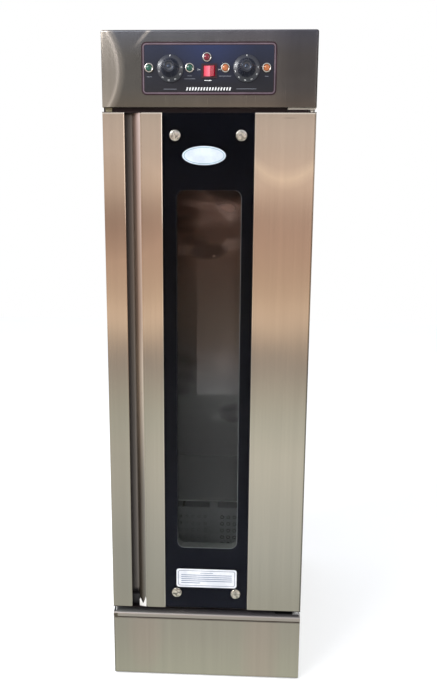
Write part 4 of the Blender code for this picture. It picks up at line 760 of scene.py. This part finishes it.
def plate_mesh(name, loop, thickness, edge=0.0):
    """A flat plate with a softened front edge, its front towards +Z."""
    def build(bm):
        low = [bm.verts.new((x, y, 0)) for x, y in loop]
        face = bm.faces.new(low)
        grown = bmesh.ops.extrude_face_region(bm, geom=[face])["geom"]
        high = [part for part in grown if isinstance(part, bmesh.types.BMVert)]
        bmesh.ops.translate(bm, verts=high, vec=(0, 0, thickness))
        if edge:
            rim = [e for e in bm.edges if all(v in high for v in e.verts)]
            bmesh.ops.bevel(bm, geom=rim, offset=edge, segments=2, affect="EDGES")
    return mesh_from(name, build)


def band_mesh(name, outer, inner, thickness):
    """A flat band between two loops of the same count."""
    def build(bm):
        levels = []
        for height in (0, thickness):
            levels.append([[bm.verts.new((x, y, height)) for x, y in loop] for loop in (outer, inner)])
        count = len(outer)
        (low_out, low_in), (high_out, high_in) = levels
        for i in range(count):
            j = (i + 1) % count
            bm.faces.new((high_out[i], high_out[j], high_in[j], high_in[i]))
            bm.faces.new((low_out[j], low_out[i], low_in[i], low_in[j]))
            bm.faces.new((low_out[i], low_out[j], high_out[j], high_out[i]))
            bm.faces.new((low_in[j], low_in[i], high_in[i], high_in[j]))
    return mesh_from(name, build)


def text_mesh(name, words, size, thickness):
    curve = bpy.data.curves.new(name, "FONT")
    curve.body = words
    curve.size = size
    curve.align_x = curve.align_y = "CENTER"
    curve.extrude = thickness / 2
    curve.resolution_u = 3
    guide = show(bpy.data.objects.new(name + "_guide", curve))
    bpy.context.view_layer.update()
    graph = bpy.context.evaluated_depsgraph_get()
    mesh = bpy.data.meshes.new_from_object(guide.evaluated_get(graph))
    bpy.data.objects.remove(guide)
    mesh.name = name
    return mesh


def joined(name, meshes_and_places):
    """One mesh from several, each put in its place."""
    bm = bmesh.new()
    for mesh, place in meshes_and_places:
        part = mesh.copy()
        part.transform(place)
        bm.from_mesh(part)
        bpy.data.meshes.remove(part)
    result = bpy.data.meshes.new(name)
    bm.to_mesh(result)
    bm.free()
    return soften(result)


def on_front(x, z, depth):
    """A place at this depth in millimetres, where a piece's own +Z comes out towards the person."""
    return Matrix.Translation((x, at(depth), z)) @ FACE_FRONT


def centre_of(node):
    low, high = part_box(node)
    return (low + high) / 2


# Control panel

OVERLAY_DEPTH = -1.1
PRINT = 0.00012
KNOB_DEPTH = -1.7
DIAL_COUNT = 7
DIAL_START = 4.4 * DEGREE
DIAL_PITCH = 33.8 * DEGREE
DIAL_STEP = 10
LAMP_DEPTH = -1.4


def panel_border():
    """The panel's raised rim and the two printed lines inside it."""
    low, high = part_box("control_overlay")

    def loop(inset):
        corner = max(0.0095 - inset, 0.004)
        return rounded(low.x + inset, low.z + inset, high.x - inset, high.z - inset, corner)

    rim = band_mesh("panel_rim", loop(-0.0018), loop(0.0012), -OVERLAY_DEPTH * MM + PRINT)
    add(rim, "border_dark", place=on_front(0, 0, 0))
    rings = ("light", 0.0012, 0.0040, "border_light"), ("inner", 0.0040, 0.0052, "border_dark")
    for name, start, end, finish in rings:
        ring = band_mesh("panel_border_" + name, loop(start), loop(end), PRINT)
        add(ring, finish, place=on_front(0, 0, OVERLAY_DEPTH))


def flutes(angle, radius, height):
    """The grip's ribs: they fade out towards the skirt and the rim."""
    if not 0.0095 < height < 0.0300 or radius < 0.0115:
        return radius
    return radius + 0.0006 * math.cos(24 * angle)


def knob(node, body, first):
    """A dial knob: a printed skirt, a fluted grip with a raised ring round a hollow front, and its numbers."""
    middle = centre_of(node)
    length = at(KNOB_DEPTH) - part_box(node)[0].y
    place = on_front(middle.x, middle.z, KNOB_DEPTH)

    def below_tip(*points):
        return [(radius, length - drop) for radius, drop in points]

    profile = [
        (0.003, -0.0200), (0.003, 0.0), (0.0300, 0.0), (0.0305, 0.0006), (0.0305, 0.0022), (0.0298, 0.0030),
        (0.0235, 0.0076), (0.0216, 0.0088), (0.0206, 0.0102), (0.0168, 0.0200),
    ]
    profile += below_tip((0.0134, 0.0030), (0.0129, 0.0012), (0.0119, 0), (0.0109, 0), (0.0106, 0.0008),
                         (0.0, 0.0030))
    piece = add(ring_mesh(node + "_dial", profile, 96, flutes), "knob_plastic", body, place)
    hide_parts(node)
    insert = below_tip((0.0105, 0.0030), (0.0105, 0.0004), (0.0100, 0), (0.0094, 0.0004), (0.0084, 0.0022),
                       (0.0082, 0.0029), (0.0105, 0.0030))
    add(ring_mesh(node + "_ring", insert, 64), "ring_steel", body, place)
    facets = below_tip((0.0052, 0.0032), (0.0050, 0.0020), (0.0030, 0.0008), (0.0, 0.0003))
    stud = ring_mesh(node + "_stud", facets, 5)
    for face in stud.polygons:
        face.use_smooth = False
    add(stud, "ring_steel", body, place)
    lean = Matrix.Rotation(-math.atan2(0.0048, 0.0073), 4, "X")
    marks = []
    for count in range(DIAL_COUNT):
        word = text_mesh("number", str(first + DIAL_STEP * count), 0.0046, 0.0002)
        turn = Matrix.Rotation(DIAL_START - DIAL_PITCH * count - 90 * DEGREE, 4, "Z")
        marks.append((word, turn @ Matrix.Translation((0, 0.0264, 0.0056)) @ lean))
    taper = [(-0.0008, -0.0024), (0.0008, -0.0024), (0.0005, 0.0024), (-0.0005, 0.0024)]
    tick = plate_mesh("tick", taper, 0.0003)
    marks.append((tick, Matrix.Translation((0, 0.0274, 0.0047)) @ lean))
    add(joined(node + "_numbers", marks), "print_white", body, place)


def lamp(node):
    """A bezel with its barrel, and a domed lens of the colour that the node's name starts with."""
    middle = centre_of(node)
    place = on_front(middle.x, middle.z, LAMP_DEPTH)
    bezel = [
        (0.0060, -0.0240), (0.0060, 0.0), (0.0109, 0.0), (0.0109, 0.0012), (0.0106, 0.0024), (0.0098, 0.0033),
        (0.0088, 0.0035), (0.0080, 0.0031), (0.0075, 0.0022), (0.0073, 0.0010), (0.0060, 0.0010),
        (0.0060, -0.0240),
    ]
    ring = add(ring_mesh(node + "_bezel", bezel, 48), "bright_steel", place=place)
    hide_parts(node)
    dome = [(0.0058, -0.0238), (0.0058, 0.0011), (0.0072, 0.0012)]
    for step in range(6):
        angle = (90 - step * 15) * DEGREE
        dome.append((0.0071 * math.sin(angle), 0.0013 + 0.0045 * math.cos(angle)))
    dome.append((0.0, 0.0013 + 0.0045))
    add(ring_mesh(node + "_lens", dome, 36), node.split("_")[0] + "_lens", place=place)


def switch_marks():
    """Plain marks at the two sides of the rocker."""
    low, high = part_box("switch_frame")
    z = (low.z + high.z) / 2 + 0.003
    words = []
    for x, word in ((low.x - 0.0068, "ON"), (high.x + 0.0052, "OFF")):
        words.append((text_mesh("mark", word, 0.0040, PRINT), Matrix.Translation((x, z, 0))))
    add(joined("switch_marks", words), "print_white", place=on_front(0, 0, OVERLAY_DEPTH - 0.06))


# Door

GLASS_DEPTH = 0.5
CAP_DEPTH = 0.4
CARD_MIDDLE = 0.2890
SLAB_CORNER = 0.0004
# the outline of a white plate at the foot of the finger recess: a painted highlight
RECESS_HIGHLIGHT = (
    (-0.0098, -0.0120), (0.0092, -0.0120), (0.0092, 0.0105), (0.0074, 0.0165), (0.0035, 0.0030),
    (-0.0005, -0.0040), (-0.0045, 0.0050), (-0.0080, 0.0105), (-0.0098, 0.0070),
)


def glass_plates():
    """A blank oval plate and a blank card on the glass, each with a thin line round it."""
    place = on_front(-0.0105, 1.3716, GLASS_DEPTH)
    add(plate_mesh("oval_plate", ellipse(0.0515, 0.0218), 0.0008, 0.0003), "plate_white", "door", place)
    line = band_mesh("oval_line", ellipse(0.0478, 0.0190), ellipse(0.0466, 0.0180), 0.00086)
    add(line, "plate_teal", "door", place)
    place = on_front(0.0, CARD_MIDDLE, GLASS_DEPTH)
    card = plate_mesh("door_card", rounded(-0.0797, -0.0262, 0.0797, 0.0262, 0.007), 0.0005, 0.0002)
    add(card, "card_white", "door", place)
    outer = rounded(-0.0750, -0.0216, 0.0750, 0.0216, 0.005)
    inner = rounded(-0.0740, -0.0206, 0.0740, 0.0206, 0.004)
    add(band_mesh("card_border", outer, inner, 0.00056), "print_blue", "door", place)


def glass_caps():
    """Four domed caps that hold the glass, each turned from bar."""
    for side in ("top_left", "top_right", "bottom_left", "bottom_right"):
        node = side + "_glass_cap"
        low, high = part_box(node)
        radius = (high.x - low.x) / 2
        rise = at(CAP_DEPTH) - low.y
        profile = [
            (0.0, 0.0), (radius - 0.0004, 0.0), (radius, 0.0005), (radius, rise - 0.0016),
            (radius - 0.0006, rise - 0.0008), (radius - 0.0017, rise - 0.0004), (0.6 * radius, rise - 0.0001),
            (0.0, rise),
        ]
        place = on_front((low.x + high.x) / 2, (low.z + high.z) / 2, CAP_DEPTH)
        piece = add(ring_mesh(side + "_cap_dome", profile, 48), "cap_steel", "door", place)
        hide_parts(node)


def slab(name, low, high, finish, body="root"):
    """A small plate between two corners, (x, depth in mm, z), with softened edges."""
    (left, front, bottom), (right, rear, top) = low, high
    loop = rounded(left, bottom, right, top, SLAB_CORNER, 3)
    add(plate_mesh(name, loop, (rear - front) * MM, SLAB_CORNER / 2), finish, body, on_front(0, 0, rear))


def door_details():
    """The bead between recess and stile, a white plate at the recess's foot that is a painted highlight, and
    the bead round the clear window.
    """
    low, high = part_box("left_stile")
    slab("stile_bead", (-0.1614, 0.9, low.z + 0.001), (-0.1583, 3.0, high.z - 0.001), "door_steel", "door")
    lean = Matrix.Translation((-0.1698, at(2.9), 0.2140)) @ Matrix.Rotation(-15 * DEGREE, 4, "Z")
    add(plate_mesh("recess_highlight", RECESS_HIGHLIGHT, 0.0006, 0.0002), "highlight_white", "door", lean @ FACE_FRONT)

    left, right, bottom, top = -0.0780, 0.0795, 0.3725, 1.2933
    outer = rounded(left, bottom, right, top, 0.019, 10)
    inner = rounded(left + 0.0011, bottom + 0.0013, right - 0.0011, top - 0.0011, 0.0179, 10)
    add(band_mesh("window_bead", outer, inner, 0.0016), "bead_steel", "door", on_front(0, 0, 7.6))


# Plain marks where the panel and the card carry words: they say nothing. Each is x, z, width, height and slant.

PANEL_RULES = [(x, z, width, 0.0011, 0.0) for x, z, width in (
    (-0.1375, 1.5470, 0.012), (-0.0445, 1.5490, 0.010), (-0.0440, 1.5425, 0.025), (0.0375, 1.5485, 0.028),
    (0.1330, 1.5480, 0.008), (-0.0895, 1.5200, 0.030), (0.0870, 1.5205, 0.046))]
PANEL_BARS = [(-0.0500 + 0.0066 * i, 1.5205, 0.0034, 0.0070, 0.0010) for i in range(16)]
PANEL_BARS.append((-0.0020, 1.5390, 0.016, 0.0015, 0.0))
CARD_RULES = [(0.0, 0.0150, 0.034, 0.0012, 0.0), (-0.0420, -0.0134, 0.050, 0.0015, 0.0)]
CARD_RULES += [(0.0, 0.0090 - 0.0056 * row, 0.134, 0.0015, 0.0) for row in range(4)]


def rules(name, places, thickness, finish, body, place):
    lines = []
    for x, z, width, height, slant in places:
        half, tall = width / 2, height / 2
        loop = [(x - half - slant, z - tall), (x + half - slant, z - tall), (x + half + slant, z + tall),
                (x - half + slant, z + tall)]
        lines.append((plate_mesh("rule", loop, thickness), Matrix.Identity(4)))
    add(joined(name, lines), finish, body, place)


def plain_marks():
    front = on_front(0, 0, OVERLAY_DEPTH)
    rules("panel_rules", PANEL_RULES, 0.00014, "print_dim", "root", front)
    rules("panel_bars", PANEL_BARS, 0.00014, "print_white", "root", front)
    rules("card_rules", CARD_RULES, 0.00056, "card_ink", "door", on_front(0.0, CARD_MIDDLE, GLASS_DEPTH))


# Heater cover

COVER_FRONT = 270
COVER_MIDDLE = 0.0040
COVER_FIRST = 0.0257
COVER_DROP = 0.0520
COVER_PITCH = 0.0186, 0.0215
HOLE_SHADOW_INSIDE = 0.0037


def cover_details():
    """A white strip along the cover's top fold, a painted highlight, and dark rings round its holes, painted
    shade that makes the holes look larger, none at its middle.
    """
    low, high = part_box("heater_cover")
    left = low.x + 0.002, COVER_FRONT - 0.7, high.z - 0.0016
    right = high.x - 0.002, COVER_FRONT + 0.2, high.z + 0.0003
    # painted highlight: a white strip on the cover's top fold
    slab("cover_fold_highlight", left, right, "bright_edge")
    places = []
    # painted shade: dark rings round the holes, wider on the right
    for side, radius in ((-1, 0.0043), (1, 0.0055)):
        rim = band_mesh("cover_hole_shadow", ellipse(radius, radius, 16), ellipse(HOLE_SHADOW_INSIDE, HOLE_SHADOW_INSIDE, 16), 0.0003)
        for column in range(8):
            x = COVER_MIDDLE + side * (COVER_FIRST + column * COVER_PITCH[0])
            for row in range(5):
                places.append((rim, on_front(x, high.z - COVER_DROP - row * COVER_PITCH[1], COVER_FRONT)))
    add(joined("cover_hole_shadows", places), "black_plastic")


# Seams, base and screws

CORNER_PLACE = -0.2464, 0.1926


def header_seam():
    """What shows in the gap between header and door: a lip and the hinge's shim in a dark finish that is
    painted shade, and a plate at its left end.
    """
    slab("header_lip", (-0.2488, 16.0, 1.4712), (0.1815, 17.4, 1.4803), "gap_shadow_dark")
    slab("catch_plate", (-0.2440, 12.0, 1.4711), (-0.2285, 15.6, 1.4803), "olive_steel")
    slab("hinge_shim", (0.1860, 11.0, 1.4709), (0.2320, 13.0, 1.4765), "gap_shadow_dark")


def nosing_details():
    """The joint under the ledge, its worn left end, and what lies on it: a pad, a white sliver that is a
    painted highlight, and the grey seal.
    """
    low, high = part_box("base_nosing")
    joint = (low.x + 0.001, 1.2, low.z - 0.0015), (high.x - 0.001, 2.6, low.z + 0.0002)
    slab("nosing_joint", *joint, "seam_brown")
    worn = (low.x + 0.0004, -0.1, low.z + 0.0020), (low.x + 0.0115, 1.6, high.z - 0.0036)
    slab("nosing_end", *worn, "worn_steel")
    pad = [(-0.0024, -0.0093), (0.0003, -0.0093), (0.0025, 0.0073), (0.0, 0.0073)]
    add(plate_mesh("corner_pad", pad, 0.0030), "rubber", place=on_front(*CORNER_PLACE, 6.0))
    # painted highlight: a white sliver at the corner
    sliver = [(0.0010, -0.0093), (0.0042, -0.0093), (0.0044, 0.0010), (0.0030, 0.0040)]
    add(plate_mesh("corner_sliver", sliver, 0.0010), "highlight_white", place=on_front(*CORNER_PLACE, 8.0))

    section = rounded(-0.0235, 0.0, 0.0235, 0.0018, 0.0006, 3)
    strip = plate_mesh("sill_strip", section, high.x - low.x - 0.006)
    turn = Matrix(((0, 0, 1), (1, 0, 0), (0, 1, 0))).to_4x4()
    add(strip, "seal_strip", place=Matrix.Translation((low.x + 0.003, at(26.5), high.z)) @ turn)


def screws(name, places, radius, body="root"):
    """Pan-head screws with a round driver dimple; their profile is in shares of the radius."""
    profile = (0.0, 0.0), (1.0, 0.0), (1.0, 0.25), (0.8, 0.55), (0.45, 0.68), (0.3, 0.3), (0.0, 0.22)
    head = ring_mesh("head", [(out * radius, up * radius) for out, up in profile], 20)
    add(joined(name, [(head, place) for place in places]), "bright_steel", body)


def screw_rows():
    """Screws round the rear panel, the door's back sheet and the heater cover."""
    low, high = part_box("rear_panel")
    rows = [low.z + 0.020 + row * (high.z - low.z - 0.040) / 6 for row in range(7)]
    places = [(x, high.y, z) for z in rows for x in (low.x + 0.012, high.x - 0.012)]
    places += [(0, high.y, rows[0]), (0, high.y, rows[-1])]
    screws("rear_screws", [Matrix.Translation(place) @ FACE_BACK for place in places], 0.0036)
    low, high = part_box("door_liner")
    rows = [low.z + 0.025 + row * (high.z - low.z - 0.050) / 5 for row in range(6)]
    places = [(x, high.y, z) for z in rows for x in (low.x + 0.004, high.x - 0.0045)]
    screws("door_liner_screws", [Matrix.Translation(place) @ FACE_BACK for place in places], 0.0024, "door")
    low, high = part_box("heater_cover")
    corners = [(x, z) for x in (low.x + 0.012, high.x - 0.012) for z in (low.z + 0.015, high.z - 0.030)]
    screws("cover_screws", [on_front(x, z, COVER_FRONT) for x, z in corners], 0.0032)


# Studio

SKY_LOW = -0.6
SKY_HIGH = 0.4
SKY = (
    # sine of the height over the horizon, and what polished metal mirrors there
    (-0.58, (0.66, 0.66, 0.60)), (-0.52, (0.54, 0.54, 0.51)), (-0.46, (0.68, 0.69, 0.68)),
    (-0.34, (0.92, 0.89, 0.84)), (-0.26, (0.66, 0.66, 0.60)), (-0.205, (0.42, 0.42, 0.42)),
    (-0.18, (0.52, 0.48, 0.42)), (-0.15, (1.30, 1.12, 0.92)), (-0.12, (0.80, 0.66, 0.52)),
    (-0.04, (0.68, 0.50, 0.42)), (0.0, (0.56, 0.43, 0.37)), (0.04, (1.22, 1.06, 0.92)),
    (0.07, (0.74, 0.68, 0.64)), (0.128, (0.88, 0.85, 0.82)), (0.152, (0.36, 0.35, 0.33)),
    (0.22, (0.34, 0.34, 0.36)), (0.35, (0.7, 0.7, 0.74)),
)
LAMPS = (
    # name, place, what it points at, size, power
    ("key", (-1.9, -2.6, 2.9), (0, 0, 0.9), (1.6, 1.2), 40),
    ("fill", (2.4, -2.2, 2.0), (0, 0, 0.8), (1.8, 1.8), 18),
    ("side", (-1.84, -0.94, 2.45), (0, -0.35, 1.55), (0.7, 0.7), 30),
    ("chamber", (0, -0.27, 1.38), (0, 0.15, 0.3), (0.3, 0.04), 1.2),
)


def make_world():
    """Plain light for the object, white for the camera, and the bands of SKY for what mirrors."""
    world = bpy.data.worlds.new("studio")
    bpy.context.scene.world = world
    world.use_nodes = True
    nodes, link = world.node_tree.nodes, world.node_tree.links.new
    nodes.clear()

    def background(colour=(1, 1, 1), strength=1.0):
        made = nodes.new("ShaderNodeBackground")
        made.inputs[0].default_value = (*colour, 1)
        made.inputs[1].default_value = strength
        return made

    def blend(*outputs):
        made = nodes.new("ShaderNodeMixShader")
        for output, socket in zip(outputs, made.inputs):
            link(output, socket)
        return made.outputs[0]

    plain = background((0.92, 0.95, 1.0), 0.75)
    white = background()
    banded = background()
    split = nodes.new("ShaderNodeSeparateXYZ")
    link(nodes.new("ShaderNodeTexCoord").outputs["Generated"], split.inputs[0])
    spread = nodes.new("ShaderNodeMapRange")
    spread.inputs[1].default_value = SKY_LOW
    spread.inputs[2].default_value = SKY_HIGH
    link(split.outputs["Z"], spread.inputs[0])
    ramp = nodes.new("ShaderNodeValToRGB")
    elements = ramp.color_ramp.elements
    while len(elements) < len(SKY):
        elements.new(0.5)
    for element, (sine, colour) in zip(elements, SKY):
        element.position = sine - SKY_LOW
        element.color = (*colour, 1)
    link(spread.outputs[0], ramp.inputs[0])
    link(ramp.outputs[0], banded.inputs[0])
    rays = nodes.new("ShaderNodeLightPath").outputs
    lit = blend(rays["Is Glossy Ray"], plain.outputs[0], banded.outputs[0])
    seen = blend(rays["Is Camera Ray"], lit, white.outputs[0])
    link(seen, nodes.new("ShaderNodeOutputWorld").inputs[0])


def make_lamps():
    for name, place, aim, size, power in LAMPS:
        data = bpy.data.lights.new(name, "AREA")
        data.shape = "RECTANGLE"
        data.size, data.size_y = size
        data.energy = power
        light = show(bpy.data.objects.new(name, data))
        light.location = place
        light.rotation_euler = (Vector(aim) - Vector(place)).to_track_quat("-Z", "Y").to_euler()
        if name == "chamber":
            light.visible_camera = False
            light.visible_glossy = False


def make_floor():
    """A matt floor that the camera sees as white, with the cabinet's shadow on it."""
    mesh = bpy.data.meshes.new("floor")
    bm = bmesh.new()
    bmesh.ops.create_grid(bm, x_segments=8, y_segments=8, size=6)
    bm.to_mesh(mesh)
    bm.free()
    ground = show(bpy.data.objects.new("floor", mesh))
    ground.location = (0, 0, -0.0002)
    paint = Shader("floor_paint", Roughness=0.9, Specular_IOR_Level=0.1)
    paint.colour(paint.mix(paint.noise(3.0, 3.0, 0.5), (0.93, 0.93, 0.93), (0.96, 0.96, 0.96)))
    paint.feed(paint.surface.inputs["Emission Color"], (1, 1, 1))
    lift = paint.node("ShaderNodeLightPath").outputs["Is Camera Ray"]
    paint.link(paint.times(lift, 0.32), paint.surface.inputs["Emission Strength"])
    mesh.materials.append(MATERIALS["floor_paint"])
    ground.visible_glossy = False


make_camera()
dress_nodes()
panel_border()
knob("thermostat_knob", "thermostat", 20)
knob("humidity_knob", "humidity_control", 30)
for lamp_node in ("green_lamp_outer", "green_lamp_inner", "red_lamp", "orange_lamp_inner", "orange_lamp_outer"):
    lamp(lamp_node)
switch_marks()
glass_plates()
glass_caps()
door_details()
plain_marks()
cover_details()
header_seam()
nosing_details()
screw_rows()
make_world()
make_lamps()
make_floor()
bpy.context.scene.view_settings.view_transform = "Standard"
